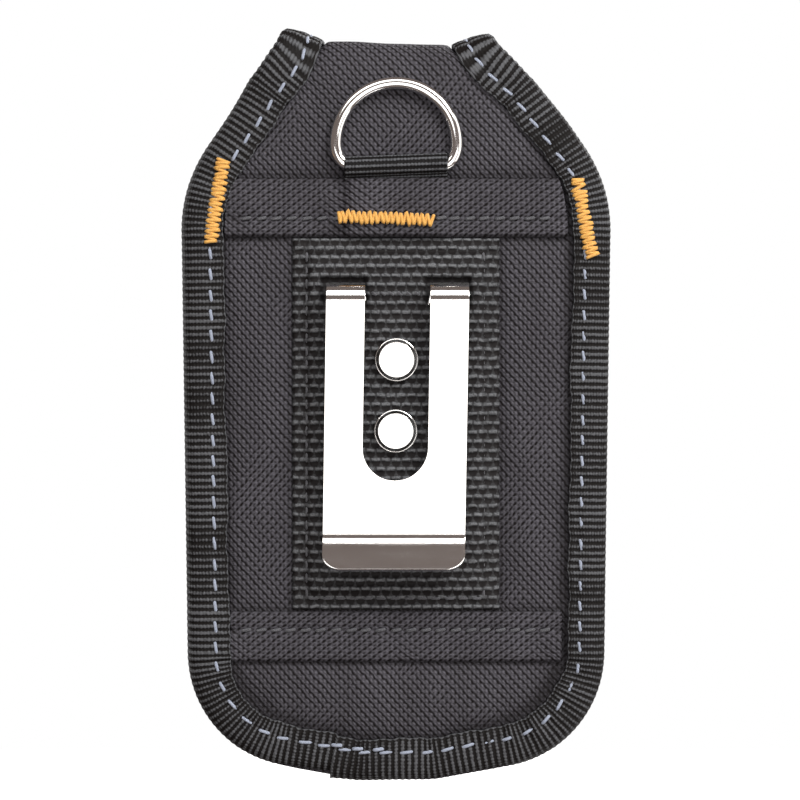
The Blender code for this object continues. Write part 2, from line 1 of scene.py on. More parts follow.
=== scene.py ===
"""Looks of a padded belt pouch: sewn cloth, ribbed tape, webbing and a spring steel belt clip.

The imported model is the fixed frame. Every size here is in millimetres in the pouch's own datum:
X to the right, Y from the clip side to the front with 0 on the face of the back panel, and Z up
from the foot. The back panel and the flap are one padded sheet that folds over the top, so a point
of it is given by its width x, its height s along the outer face and its depth below that face.
"""

import sys

import logging
import math
from dataclasses import dataclass, field
from enum import Enum
from typing import Callable, Optional, Sequence

import bmesh
import bpy
import numpy as np
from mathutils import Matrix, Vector


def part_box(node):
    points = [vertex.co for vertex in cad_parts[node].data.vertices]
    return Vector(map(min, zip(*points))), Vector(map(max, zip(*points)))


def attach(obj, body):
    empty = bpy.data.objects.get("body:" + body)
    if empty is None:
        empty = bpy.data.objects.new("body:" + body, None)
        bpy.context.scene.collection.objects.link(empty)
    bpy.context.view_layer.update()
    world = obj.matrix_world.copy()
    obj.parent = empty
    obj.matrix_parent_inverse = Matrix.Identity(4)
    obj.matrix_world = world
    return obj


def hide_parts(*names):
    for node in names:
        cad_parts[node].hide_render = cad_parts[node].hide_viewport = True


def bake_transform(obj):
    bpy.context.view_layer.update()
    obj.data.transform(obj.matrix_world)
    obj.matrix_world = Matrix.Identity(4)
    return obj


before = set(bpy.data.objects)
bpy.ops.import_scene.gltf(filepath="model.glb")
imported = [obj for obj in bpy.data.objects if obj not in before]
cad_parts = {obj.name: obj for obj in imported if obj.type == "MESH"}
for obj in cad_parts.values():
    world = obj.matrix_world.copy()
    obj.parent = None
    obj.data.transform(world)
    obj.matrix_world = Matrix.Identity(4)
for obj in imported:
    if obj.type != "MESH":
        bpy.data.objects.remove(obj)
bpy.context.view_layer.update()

MM = 0.001
GAP = 0.3
TAPE_WIDTH = 10.4
FLAP_TAPE_WIDTH = 8.0
WEB_ROW = 2.22
WEB_BEAD = 2.46
CLOTH_BUMP = 0.0004
SEED = 7
Array = np.ndarray
log = logging.getLogger("pouch")


def smooth(value: Array) -> Array:
    """Smooth step from 0 to 1 while the value goes from 0 to 1: 3t squared less 2t cubed.

    Args:
        value: Any array.

    Returns:
        An array of the same shape, between 0 and 1.
    """
    t = np.clip(value, 0.0, 1.0)
    return t * t * (3.0 - 2.0 * t)


def ramp(value: Array, start: float, length: float) -> Array:
    """Smooth step from 0 to 1 that begins at a start and is one length long."""
    return smooth((value - start) / length)


def hump(value: Array, centre: float, width: float) -> Array:
    """Bell curve that is 1 at a centre and falls off over a width."""
    return np.exp(-(((value - centre) / width) ** 2))


def ripple(x: Array, y: Array, pitch: float, seed: int, waves: int = 7) -> Array:
    """Irregular waves: a sum of plane sine waves whose pitches and directions vary.

    Args:
        x: First coordinate in millimetres.
        y: Second coordinate in millimetres.
        pitch: Mean length of a wave.
        seed: Number that picks the set of waves.
        waves: How many waves are summed.

    Returns:
        Heights of about -1 to 1.
    """
    rng = np.random.default_rng(SEED + seed)
    total = np.zeros(np.broadcast(x, y).shape)
    for _ in range(waves):
        turn, phase = rng.uniform(0, math.pi), rng.uniform(0, 2 * math.pi)
        number = 2 * math.pi / (pitch * rng.uniform(0.7, 1.5))
        total += np.sin(number * (x * math.cos(turn) + y * math.sin(turn)) + phase)
    return total / math.sqrt(waves)


def rounded(corners: Sequence[tuple[float, float, float]]) -> Array:
    """Chain of points whose inner corners are turned into fine arcs.

    Each arc touches both sides of its corner: its centre lies on the bisector, at the radius
    divided by the sine of half the angle.

    Args:
        corners: (x, s, radius) for each corner; the two ends have radius 0.

    Returns:
        Points of shape (n, 2).
    """
    points = [np.array([corners[0][:2]])]
    for before, corner, after in zip(corners, corners[1:], corners[2:]):
        here = np.array(corner[:2])
        back, on = np.array(before[:2]) - here, np.array(after[:2]) - here
        back, on = back / np.linalg.norm(back), on / np.linalg.norm(on)
        half = math.acos(float(np.clip(back @ on, -1, 1))) / 2
        bisector = (back + on) / np.linalg.norm(back + on)
        centre = here + bisector * corner[2] / math.sin(half)
        first = here + back * corner[2] / math.tan(half) - centre
        side = math.copysign(1.0, back[0] * on[1] - back[1] * on[0])
        turn = -side * np.linspace(0, math.pi - 2 * half, 40)
        spun = np.stack([np.cos(turn) * first[0] - np.sin(turn) * first[1],
                         np.sin(turn) * first[0] + np.cos(turn) * first[1]], axis=1)
        points.append(centre + spun)
    points.append(np.array([corners[-1][:2]]))
    return np.vstack(points)


def resample(path: Array, count: int) -> Array:
    """Points of a chain at even steps of its length."""
    along = np.append(0.0, np.cumsum(np.linalg.norm(np.diff(path, axis=0), axis=1)))
    stops = np.linspace(0.0, along[-1], count)
    return np.stack([np.interp(stops, along, column) for column in path.T], axis=1)


def length_of(path: Array) -> float:
    """Length of a chain of points."""
    return float(np.linalg.norm(np.diff(path, axis=0), axis=1).sum())


def follow(runs: Sequence[tuple[float, float]], distance: Array, start: tuple[float, float] = (0.0, 0.0),
           heading: float = 0.0) -> tuple[Array, Array, Array]:
    """Place and heading at distances along straight and arced runs in the YZ plane.

    Args:
        runs: (length, radius) of each run; radius 0 is straight, and a positive one turns to +Y.
        distance: Distances from the start.
        start: (y, z) of the start.
        heading: Angle from +Z towards +Y at the start.

    Returns:
        Arrays of y, z and heading.
    """
    y, z = np.full(distance.shape, start[0]), np.full(distance.shape, start[1])
    angle = np.full(distance.shape, heading)
    begun = 0.0
    for number, (length, radius) in enumerate(runs):
        step = np.minimum(distance - begun, length)
        step = step if number == 0 else np.maximum(step, 0.0)
        if number == len(runs) - 1:
            step = np.maximum(distance - begun, 0.0) if number else distance
        if radius:
            turned = heading + step / radius
            y += radius * (math.cos(heading) - np.cos(turned))
            z += radius * (np.sin(turned) - math.sin(heading))
            angle += step / radius
            heading += length / radius
        else:
            y += step * math.sin(heading)
            z += step * math.cos(heading)
        begun += length
    return y, z, angle


class Datum:
    """Where the pouch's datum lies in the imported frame, and how its boxes read in millimetres."""

    def __init__(self) -> None:
        """Reads the datum from the foot of the edge binding and the face of the back panel."""
        foot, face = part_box("edge_binding")[0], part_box("back_panel_shell")[0]
        self.origin = np.array([0.0, face.y, foot.z])

    def to_frame(self, points: Array) -> Array:
        """Millimetres in the datum to metres in the frame."""
        return points * MM + self.origin

    def box(self, node: str) -> tuple[Array, Array]:
        """Lowest and highest corner of a CAD node, in millimetres in the datum."""
        low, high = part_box(node)
        return (np.array(low) - self.origin) / MM, (np.array(high) - self.origin) / MM


DATUM = Datum()


@dataclass
class Surface:
    """One grid of points that becomes part of a piece's mesh.

    A closed direction joins its last row to its first. Several equal grids can be given at once by
    a leading axis, as for a seam's stitches.
    """

    points: Array
    uv: Optional[Array] = None
    closed_u: bool = False
    closed_v: bool = False
    capped: bool = False
    relief_and_shade: Optional[Array] = None

    def faces(self) -> tuple[Array, Array]:
        """Quads of the grid as vertex numbers, and the same corners as places in the UV grid."""
        count, nu, nv = (1, *self.points.shape)[-4:-1]
        rows, columns = np.arange(nu - 1 + self.closed_u), np.arange(nv - 1 + self.closed_v)
        i, j = (part.ravel() for part in np.meshgrid(rows, columns, indexing="ij"))
        steps = ((0, 0), (1, 0), (1, 1), (0, 1))
        corners = np.stack([(i + a) % nu * nv + (j + b) % nv for a, b in steps], axis=1)
        seats = np.stack([np.stack([i + a, j + b], axis=1) for a, b in steps], axis=1)
        shift = np.arange(count)[:, None, None] * nu * nv
        return (corners[None] + shift).reshape(-1, 4), np.tile(seats, (count, 1, 1))


def uv_grid(surface: Surface, seats: Array) -> Array:
    """UV of each face corner, from the surface's own grid or from its row and column numbers."""
    if surface.uv is None:
        return seats.reshape(-1, 2).astype(float)
    return surface.uv[seats[..., 0], seats[..., 1]].reshape(-1, 2)


def mesh_of(name: str, surfaces: Sequence[Surface], finish: bpy.types.Material,
            weld: float = 0.0) -> bpy.types.Object:
    """Makes one piece from grids: quads between neighbouring points, and strips over capped ends.

    Args:
        name: The piece's name.
        surfaces: Its grids, in millimetres in the datum.
        finish: Its material.
        weld: Distance in millimetres within which points are merged, or 0.

    Returns:
        The object, which sits at the origin with its place in its mesh.
    """
    points, quads, uvs, reliefs_and_shades = [], [], [], []
    base = 0
    for surface in surfaces:
        flat = surface.points.reshape(-1, 3)
        faces, seats = surface.faces()
        corners = uv_grid(surface, seats)
        if surface.capped:
            nu, nv = surface.points.shape[:2]
            first = np.arange(nu // 2 - 1 + nu % 2)
            strip = np.stack([first, first + 1, nu - 2 - first, nu - 1 - first], axis=1)
            strip = strip[strip[:, 1] < strip[:, 2]]
            caps = np.vstack([strip * nv, (strip * nv + nv - 1)[:, ::-1]])
            faces = np.vstack([faces, caps])
            cap_uv = flat[caps.ravel()][:, [0, 2]]
            corners = np.vstack([corners, cap_uv])
        if volume(flat, faces) < 0:
            faces = faces[:, ::-1]
            corners = corners.reshape(-1, 4, 2)[:, ::-1].reshape(-1, 2)
        points.append(flat)
        quads.append(faces + base)
        uvs.append(corners)
        # Per point rib height and painted shade, 1 where a surface gives none.
        height = np.ones(len(flat)) if surface.relief_and_shade is None else np.broadcast_to(
            surface.relief_and_shade, surface.points.shape[:-1]).ravel()
        reliefs_and_shades.append(height)
        base += len(flat)
    data = bpy.data.meshes.new(name)
    faces = np.vstack(quads)
    data.from_pydata(DATUM.to_frame(np.vstack(points)), [], faces)
    data.uv_layers.new(name="cloth").data.foreach_set("uv", np.vstack(uvs).astype(np.float32).ravel())
    relief_and_shade = data.attributes.new("relief_and_shade", "FLOAT", "POINT")
    relief_and_shade.data.foreach_set("value", np.concatenate(reliefs_and_shades).astype(np.float32))
    data.materials.append(finish)
    data.shade_smooth()
    piece = bpy.data.objects.new(name, data)
    bpy.context.scene.collection.objects.link(piece)
    if weld:
        merge(piece, weld)
    return piece


def volume(points: Array, faces: Array) -> float:
    """Signed volume that quads enclose, as the sum of the tetrahedra to their centre."""
    local = points - points.mean(axis=0)
    a, b, c, d = (local[faces[:, k]] for k in range(4))
    return float((np.cross(b - a, c - a) * a).sum() + (np.cross(c - a, d - a) * a).sum())


def merge(piece: bpy.types.Object, distance: float) -> None:
    """Merges a piece's points that lie within a distance in millimetres."""
    work = bmesh.new()
    work.from_mesh(piece.data)
    bmesh.ops.remove_doubles(work, verts=work.verts, dist=distance * MM)
    bmesh.ops.dissolve_degenerate(work, edges=work.edges, dist=distance * MM)
    bmesh.ops.recalc_face_normals(work, faces=work.faces)
    work.to_mesh(piece.data)
    work.free()


# ---------------------------------------------------------------------------------------------
# Finishes
# ---------------------------------------------------------------------------------------------


class Graph:
    """A small builder for one material's nodes."""

    def __init__(self, name: str) -> None:
        """Starts a material that has one Principled shader."""
        self.material = bpy.data.materials.new(name)
        self.material.use_nodes = True
        self.tree = self.material.node_tree
        self.shader = self.tree.nodes["Principled BSDF"]

    def put(self, socket: bpy.types.NodeSocket, value: object) -> None:
        """Links a socket to another node's output, or sets its number or colour."""
        if isinstance(value, bpy.types.NodeSocket):
            self.tree.links.new(value, socket)
        elif isinstance(value, tuple) and len(value) == 3 and socket.type == "RGBA":
            socket.default_value = (*value, 1.0)
        else:
            socket.default_value = value

    def math(self, operation: str, a: object, b: object = 0.0, clamp: bool = False) -> bpy.types.NodeSocket:
        """One function of one or two values."""
        node = self.tree.nodes.new("ShaderNodeMath")
        node.operation, node.use_clamp = operation, clamp
        self.put(node.inputs[0], a)
        self.put(node.inputs[1], b)
        return node.outputs[0]

    def add(self, a: object, b: object) -> bpy.types.NodeSocket:
        """The sum of two values."""
        return self.math("ADD", a, b)

    def less(self, a: object, b: object) -> bpy.types.NodeSocket:
        """One value less another."""
        return self.math("SUBTRACT", a, b)

    def times(self, a: object, b: object, clamp: bool = False) -> bpy.types.NodeSocket:
        """The product of two values, held between 0 and 1 on request."""
        return self.math("MULTIPLY", a, b, clamp)

    def spread(self, value: object, size: float) -> bpy.types.NodeSocket:
        """A value of 0 to 1 moved to lie evenly about 0, times a size."""
        return self.times(self.less(value, 0.5), size)

    def wave(self, function: str, turn: object) -> bpy.types.NodeSocket:
        """A sine or cosine brought to the range from 0 to 1."""
        return self.times(self.add(self.math(function, turn), 1.0), 0.5)

    def crossed(self, u: object, v: object, pitch: float) -> bpy.types.NodeSocket:
        """The product of two sines, one of each direction, which gives a plain weave or rows of dots."""
        parts = [self.math("SINE", self.times(part, 2 * math.pi / pitch)) for part in (u, v)]
        return self.times(*parts)

    def cloth(self) -> tuple[bpy.types.NodeSocket, bpy.types.NodeSocket, bpy.types.NodeSocket]:
        """The piece's own UV in millimetres: across, along, and both as a vector."""
        node = self.tree.nodes.new("ShaderNodeUVMap")
        node.uv_map = "cloth"
        split = self.tree.nodes.new("ShaderNodeSeparateXYZ")
        self.put(split.inputs[0], node.outputs[0])
        return split.outputs[0], split.outputs[1], node.outputs[0]

    def place(self) -> bpy.types.NodeSocket:
        """The object's own coordinates, in metres."""
        return self.tree.nodes.new("ShaderNodeTexCoord").outputs["Object"]

    def relief_and_shade(self) -> bpy.types.NodeSocket:
        """The relief_and_shade value that a piece's mesh stores: the height of its sewn or woven ribs, and
        painted shade in creases, along edges and seams and in slits.
        """
        node = self.tree.nodes.new("ShaderNodeAttribute")
        node.attribute_name = "relief_and_shade"
        return node.outputs["Fac"]

    def noise(self, vector: bpy.types.NodeSocket, scale: float, detail: float = 2.0,
              stretch: tuple[float, float, float] = (1.0, 1.0, 1.0),
              turn: float = 0.0) -> bpy.types.NodeSocket:
        """Soft noise of about 0 to 1 at a number of waves per unit, stretched and turned about Z."""
        mapping = self.tree.nodes.new("ShaderNodeMapping")
        mapping.inputs["Scale"].default_value = stretch
        mapping.inputs["Rotation"].default_value = (0.0, 0.0, turn)
        self.put(mapping.inputs["Vector"], vector)
        node = self.tree.nodes.new("ShaderNodeTexNoise")
        self.put(node.inputs["Vector"], mapping.outputs[0])
        node.inputs["Scale"].default_value = scale
        node.inputs["Detail"].default_value = detail
        return node.outputs["Fac"]

    def blend(self, share: object, low: tuple[float, float, float],
              high: tuple[float, float, float]) -> bpy.types.NodeSocket:
        """A colour between two, by a share from 0 to 1."""
        node = self.tree.nodes.new("ShaderNodeMix")
        node.data_type = "RGBA"
        self.put(node.inputs["Factor"], share)
        self.put(node.inputs[6], low)
        self.put(node.inputs[7], high)
        return node.outputs[2]

    def scale(self, value: object, low: float, high: float, to_low: float = 0.0,
              to_high: float = 1.0) -> bpy.types.NodeSocket:
        """A value's range stretched onto another and held there."""
        node = self.tree.nodes.new("ShaderNodeMapRange")
        node.clamp = True
        for number, setting in enumerate((value, low, high, to_low, to_high)):
            self.put(node.inputs[number], setting)
        return node.outputs[0]

    def bump(self, height: object, strength: float, distance: float) -> None:
        """Bends the shader's normal by a height map, over a distance in metres."""
        node = self.tree.nodes.new("ShaderNodeBump")
        node.inputs["Strength"].default_value = strength
        node.inputs["Distance"].default_value = distance
        self.put(node.inputs["Height"], height)
        self.put(self.shader.inputs["Normal"], node.outputs[0])

    def done(self, colour: object, roughness: object, **others: object) -> bpy.types.Material:
        """Sets the shader's colour, roughness and other sockets."""
        self.put(self.shader.inputs["Base Color"], colour)
        self.put(self.shader.inputs["Roughness"], roughness)
        for name, value in others.items():
            self.put(self.shader.inputs[name.replace("_", " ")], value)
        return self.material


class Lean(Enum):
    """Which way the dark lines of a ballistic weave run."""

    DOWN_RIGHT = "down to the right"
    UP_RIGHT = "up to the right"


@dataclass(frozen=True)
class BallisticCloth:
    """Coarse nylon in which thick yarns cross: two diagonal waves make floats and pits, and the pits are
    painted dark as shade.
    """

    name: str = "ballistic cloth"
    lean: Lean = Lean.DOWN_RIGHT
    across: float = 2.06
    along: float = 2.28
    # Near-black colour of the pits: painted shade between the yarns.
    pit: tuple[float, float, float] = (0.008, 0.0062, 0.0062)
    yarn: tuple[float, float, float] = (0.132, 0.126, 0.144)
    shake: float = 0.4
    main: float = 0.40
    overtone: float = -0.28
    other: float = 0.16
    # Weights of the sine grid, which paints each float lighter on one side and darker on the other: painted
    # light and shade.
    grid: tuple[float, float] = (0.28, 0.22)

    def build(self) -> bpy.types.Material:
        """Height is a main diagonal wave, its overtone, the other diagonal and a square grid.

        With the diagonals m = u + v and n = u - v, and u and v shaken by noise, it is
        0.40 cos(2 pi m) - 0.28 cos(4 pi m) + 0.16 cos(2 pi n) + 0.28 sin(4 pi u) + 0.22 sin(4 pi v).
        In some patches, where slow noise is high, m and n change places in the first terms.
        The height also sets the colour: the pits take a near-black painted shade, the sine grid paints each
        float lighter on one side and darker on the other as light falls on relief, and the mesh's
        relief_and_shade value adds painted shade near seams and edges.
        """
        g = Graph(self.name)
        u, v, both = g.cloth()
        shake = g.spread(g.noise(both, 0.32, 3.0), self.shake)
        u = g.add(g.times(u, 1 / self.across), shake)
        shake = g.spread(g.noise(both, 0.27, 3.0, turn=1.0), self.shake)
        v = g.add(g.times(v, 1 / self.along), shake)
        diagonals = [g.add(u, v), g.less(u, v)]
        main, other = diagonals if self.lean is Lean.DOWN_RIGHT else diagonals[::-1]
        swap = g.scale(g.noise(both, 0.05, 1.0), 0.53, 0.63)
        traded = g.times(swap, self.main - self.other)
        terms = (
            ("COSINE", main, 2, g.less(self.main, traded)),
            ("COSINE", main, 4, g.times(g.less(1.0, swap), self.overtone)),
            ("COSINE", other, 2, g.add(self.other, traded)),
            ("COSINE", other, 4, g.times(swap, self.overtone)),
            ("SINE", u, 4, self.grid[0]),
            ("SINE", v, 4, self.grid[1]),
        )
        weave = 0.0
        for function, phase, turns, share in terms:
            wave = g.math(function, g.times(phase, turns * math.pi))
            weave = g.add(weave, g.times(wave, share))
        yarns = g.noise(both, 1.9, 3.0, stretch=(1.0, 1.5, 1.0), turn=0.75)
        streaks = g.noise(both, 0.11, 2.0, stretch=(1.0, 0.35, 1.0), turn=0.78)
        height = g.add(weave, g.spread(yarns, 1.3))
        share = g.scale(height, -0.70, 1.05)
        tone = g.times(share, g.scale(streaks, 0.3, 0.7, 0.8, 1.1))
        # Painted shade: relief_and_shade darkens the tone near seams, edges and the patch.
        tone = g.times(tone, g.relief_and_shade())
        # Painted light and shade: pits take the near-black pit colour, and the sine grid's lit and shaded
        # sides set the tone.
        colour = g.blend(tone, self.pit, self.yarn)
        g.bump(share, 0.8, CLOTH_BUMP)
        rough = g.scale(yarns, 0.3, 0.7, 0.55, 0.75)
        return g.done(colour, rough, Specular_IOR_Level=0.12)


@dataclass(frozen=True)
class WovenTape:
    """Ribbed tape: the mesh holds its ribs, and the yarn's beads scallop and break them up; the valleys and
    the gaps between beads are painted shade.
    """

    name: str = "binding tape"
    crest: tuple[float, float, float] = (0.114, 0.116, 0.122)
    # Near-black colour of the valleys between ribs: painted shade.
    valley: tuple[float, float, float] = (0.0075, 0.0060, 0.0055)
    bead: float = 0.74
    edge: tuple[float, float] = (0.38, 0.78)

    def build(self) -> bpy.types.Material:
        """A rib is where the relief_and_shade value, less the gaps between beads, rises over an edge; below
        that edge the colour is the valley's near-black painted shade.
        """
        g = Graph(self.name)
        u, _, both = g.cloth()
        wobble = g.times(g.noise(both, 0.5, 1.0, stretch=(0.3, 1.6, 1.0)), 4.0)
        turn = g.add(g.times(u, 2 * math.pi / self.bead), wobble)
        beads = g.wave("COSINE", turn)
        speckle = g.noise(both, 1.5, 3.0)
        share = g.add(g.relief_and_shade(), g.times(g.less(beads, 0.6), 0.2))
        share = g.add(share, g.spread(speckle, 0.5))
        share = g.scale(share, *self.edge)
        tone = g.times(share, g.scale(speckle, 0.35, 0.72, 0.62, 1.35))
        tone = g.times(tone, g.scale(beads, 0.0, 0.6, 0.78, 1.0))
        # Painted shade: valleys, bead gaps and the dark parts of relief_and_shade blend towards the valley
        # colour.
        colour = g.blend(tone, self.valley, self.crest)
        g.bump(g.add(share, g.times(beads, 0.3)), 0.6, 0.00025)
        return g.done(colour, g.scale(speckle, 0.3, 0.7, 0.5, 0.72), Specular_IOR_Level=0.14)


@dataclass(frozen=True)
class BrickWebbing:
    """Heavy webbing: bright lines and bodies in half brick offset, tied by thin strands between them; their
    brightness against the near-black gaps is painted light and shade.
    """

    name: str = "heavy webbing"
    crest: tuple[float, float, float] = (0.178, 0.183, 0.190)
    # Near-black colour of the gaps between beads and rows: painted shade.
    valley: tuple[float, float, float] = (0.0125, 0.0105, 0.0105)
    foot: float = 41.4

    def build(self) -> bpy.types.Material:
        """Each bead is a bright line over which a body narrows upwards; strands dip between.

        With w the bead's cosine across and q the share of the row upwards, the line lies at
        q = 0.45, the body reaches up to q = 0.5 + 0.5 w, and a strand fills w near 0 below it.
        Elsewhere the colour is the near-black valley colour, painted shade, and the mesh's
        relief_and_shade value adds painted shade in the slits and along the seams.
        """
        g = Graph(self.name)
        u, v, both = g.cloth()
        sway = g.spread(g.noise(both, 0.5, 2.0), 0.45)
        rows = g.add(g.times(g.less(v, self.foot), 1 / WEB_ROW), sway)
        line = g.math("FLOOR", rows)
        q = g.math("FRACT", rows)
        place = g.add(g.times(u, 1 / WEB_BEAD), g.times(line, 0.5))
        place = g.add(place, g.times(sway, 0.5))
        w = g.wave("COSINE", g.times(place, 2 * math.pi))
        bright = g.scale(g.math("ABSOLUTE", g.less(q, 0.45)), 0.26, 0.09)
        bright = g.times(bright, g.scale(w, 0.02, 0.22, 0.25, 1.1))
        reach = g.less(q, g.times(g.math("POWER", w, 1.6), 0.52))
        body = g.times(g.scale(reach, 0.58, 0.36), g.scale(q, 0.35, 0.5, 0.0, 0.22))
        strand = g.times(g.scale(w, 0.10, 0.03), g.scale(q, 0.05, 0.3, 0.1, 0.4))
        strand = g.times(strand, g.scale(q, 0.62, 0.5))
        share = g.math("MAXIMUM", g.math("MAXIMUM", bright, body), strand)
        speckle = g.noise(both, 1.6, 3.0)
        share = g.times(share, g.scale(speckle, 0.32, 0.7, 0.5, 1.3), clamp=True)
        # Painted shade from the mesh: dark in the slits, along the side seams and over the side hems.
        share = g.times(share, g.relief_and_shade())
        g.bump(share, 0.7, CLOTH_BUMP)
        # Painted light and shade: bright lines and bodies against the near-black gaps.
        colour = g.blend(share, self.valley, self.crest)
        return g.done(colour, g.scale(speckle, 0.3, 0.7, 0.5, 0.72), Specular_IOR_Level=0.14)


@dataclass(frozen=True)
class SewingThread:
    """Twisted thread: fine slanting plies, a little shine and uneven dye."""

    name: str = "orange thread"
    light: tuple[float, float, float] = (1.0, 0.58, 0.14)
    dark: tuple[float, float, float] = (0.50, 0.17, 0.004)
    ply: float = 0.5

    def build(self) -> bpy.types.Material:
        """Plies are a sine of the place along and around the thread."""
        g = Graph(self.name)
        u, v, both = g.cloth()
        turn = g.times(g.add(u, g.times(v, 1.4)), 2 * math.pi / self.ply)
        plies = g.wave("SINE", turn)
        tone = g.times(g.add(plies, g.noise(both, 1.3, 2.0)), 0.62, clamp=True)
        g.bump(plies, 0.5, 0.0001)
        return g.done(g.blend(tone, self.dark, self.light), 0.45, Sheen_Weight=0.15)


@dataclass(frozen=True)
class PlatedSteel:
    """Nickel plated steel: bright, with fine drawn scratches and a faint bloom."""

    name: str = "nickel plated steel"
    colour: tuple[float, float, float] = (0.93, 0.92, 0.90)
    worn: tuple[float, float, float] = (0.86, 0.84, 0.81)
    roughness: tuple[float, float] = (0.07, 0.14)
    grain: tuple[float, float, float] = (60.0, 60.0, 900.0)

    def build(self) -> bpy.types.Material:
        """Noise stretched along the strip gives the scratches; wide noise gives the bloom."""
        g = Graph(self.name)
        place = g.place()
        scratches = g.noise(place, 1.0, 4.0, stretch=self.grain)
        bloom = g.noise(place, 90.0, 3.0)
        fine = g.noise(place, 2600.0, 2.0)
        colour = g.blend(g.scale(bloom, 0.35, 0.7), self.colour, self.worn)
        rough = g.scale(g.times(g.add(scratches, bloom), 0.5), 0.3, 0.7, *self.roughness)
        g.bump(g.add(fine, scratches), 0.06, 0.00004)
        return g.done(colour, rough, Metallic=1.0)


@dataclass(frozen=True)
class FuzzyTape:
    """Hook or loop tape: a matt pile of small loops, or rows of little hooks."""

    name: str = "loop tape"
    low: tuple[float, float, float] = (0.003, 0.003, 0.003)
    high: tuple[float, float, float] = (0.035, 0.035, 0.037)
    pile: float = 1.6
    rows: float = 0.0

    def build(self) -> bpy.types.Material:
        """Loops are cells of fine noise; rows of hooks are a product of two sines."""
        g = Graph(self.name)
        u, v, both = g.cloth()
        height = g.noise(both, self.pile, 4.0)
        if self.rows:
            hooks = g.scale(g.crossed(u, v, self.rows), 0.0, 0.8)
            height = g.add(hooks, g.times(height, 0.4))
        share = g.scale(height, 0.35, 0.75)
        g.bump(share, 0.9, CLOTH_BUMP)
        return g.done(g.blend(share, self.low, self.high), 0.9, Sheen_Weight=0.35, Sheen_Roughness=0.6)


@dataclass(frozen=True)
class LiningCloth:
    """Smooth black lining: a fine plain weave with soft creases."""

    name: str = "lining cloth"
    low: tuple[float, float, float] = (0.006, 0.006, 0.007)
    high: tuple[float, float, float] = (0.030, 0.030, 0.034)
    pitch: float = 0.45

    def build(self) -> bpy.types.Material:
        """The weave is a product of two sines over the cloth's own UV."""
        g = Graph(self.name)
        u, v, both = g.cloth()
        weave = g.scale(g.crossed(u, v, self.pitch), -1.0, 1.0)
        creases = g.noise(both, 0.09, 3.0)
        share = g.times(g.add(weave, creases), 0.5)
        g.bump(g.add(weave, g.times(creases, 3.0)), 0.35, 0.0003)
        return g.done(g.blend(share, self.low, self.high), 0.6, Sheen_Weight=0.2)


@dataclass(frozen=True)
class PaleGround:
    """Matt pale ground that fades to white light away from its middle."""

    colour: tuple[float, float, float] = (0.90, 0.90, 0.90)
    fade: tuple[float, float] = (0.25, 0.95)

    def build(self) -> bpy.types.Material:
        """White light grows with the distance from the middle; the rest is faintly mottled."""
        g = Graph("pale ground")
        place = g.place()
        split = g.tree.nodes.new("ShaderNodeSeparateXYZ")
        g.put(split.inputs[0], place)
        squares = [g.times(split.outputs[k], split.outputs[k]) for k in (0, 1)]
        distance = g.math("SQRT", g.add(*squares))
        glow = g.scale(distance, *self.fade)
        mottle = g.noise(place, 6.0, 2.0)
        colour = g.blend(mottle, self.colour, tuple(c * 0.985 for c in self.colour))
        return g.done(colour, 0.8, Emission_Color=(1.0, 1.0, 1.0), Emission_Strength=glow)


@dataclass
class Finishes:
    """Every finish of the pouch, built once."""

    cloth: bpy.types.Material = field(default_factory=BallisticCloth().build)
    band_cloth: bpy.types.Material = field(
        default_factory=BallisticCloth("band cloth", Lean.UP_RIGHT, 2.44, 1.85).build)
    tape: bpy.types.Material = field(default_factory=WovenTape().build)
    webbing: bpy.types.Material = field(default_factory=BrickWebbing().build)
    # The ring webbing's near-black valley colour is painted shade between its ribs.
    ring_webbing: bpy.types.Material = field(default_factory=WovenTape(
        "ring webbing", (0.115, 0.118, 0.125), (0.006, 0.005, 0.005), 0.83, (0.45, 0.8)).build)
    orange: bpy.types.Material = field(default_factory=SewingThread().build)
    grey_blue: bpy.types.Material = field(default_factory=SewingThread(
        "grey blue thread", (0.52, 0.565, 0.67), (0.13, 0.16, 0.24), 0.8).build)
    black_thread: bpy.types.Material = field(default_factory=SewingThread(
        "black thread", (0.16, 0.16, 0.175), (0.010, 0.009, 0.009), 0.5).build)
    steel: bpy.types.Material = field(default_factory=PlatedSteel().build)
    loop: bpy.types.Material = field(default_factory=FuzzyTape().build)
    hook: bpy.types.Material = field(
        default_factory=FuzzyTape("hook tape", pile=2.2, rows=1.5).build)
    lining: bpy.types.Material = field(default_factory=LiningCloth().build)


# ---------------------------------------------------------------------------------------------
# The padded sheet and the shapes that are sewn to it
# ---------------------------------------------------------------------------------------------


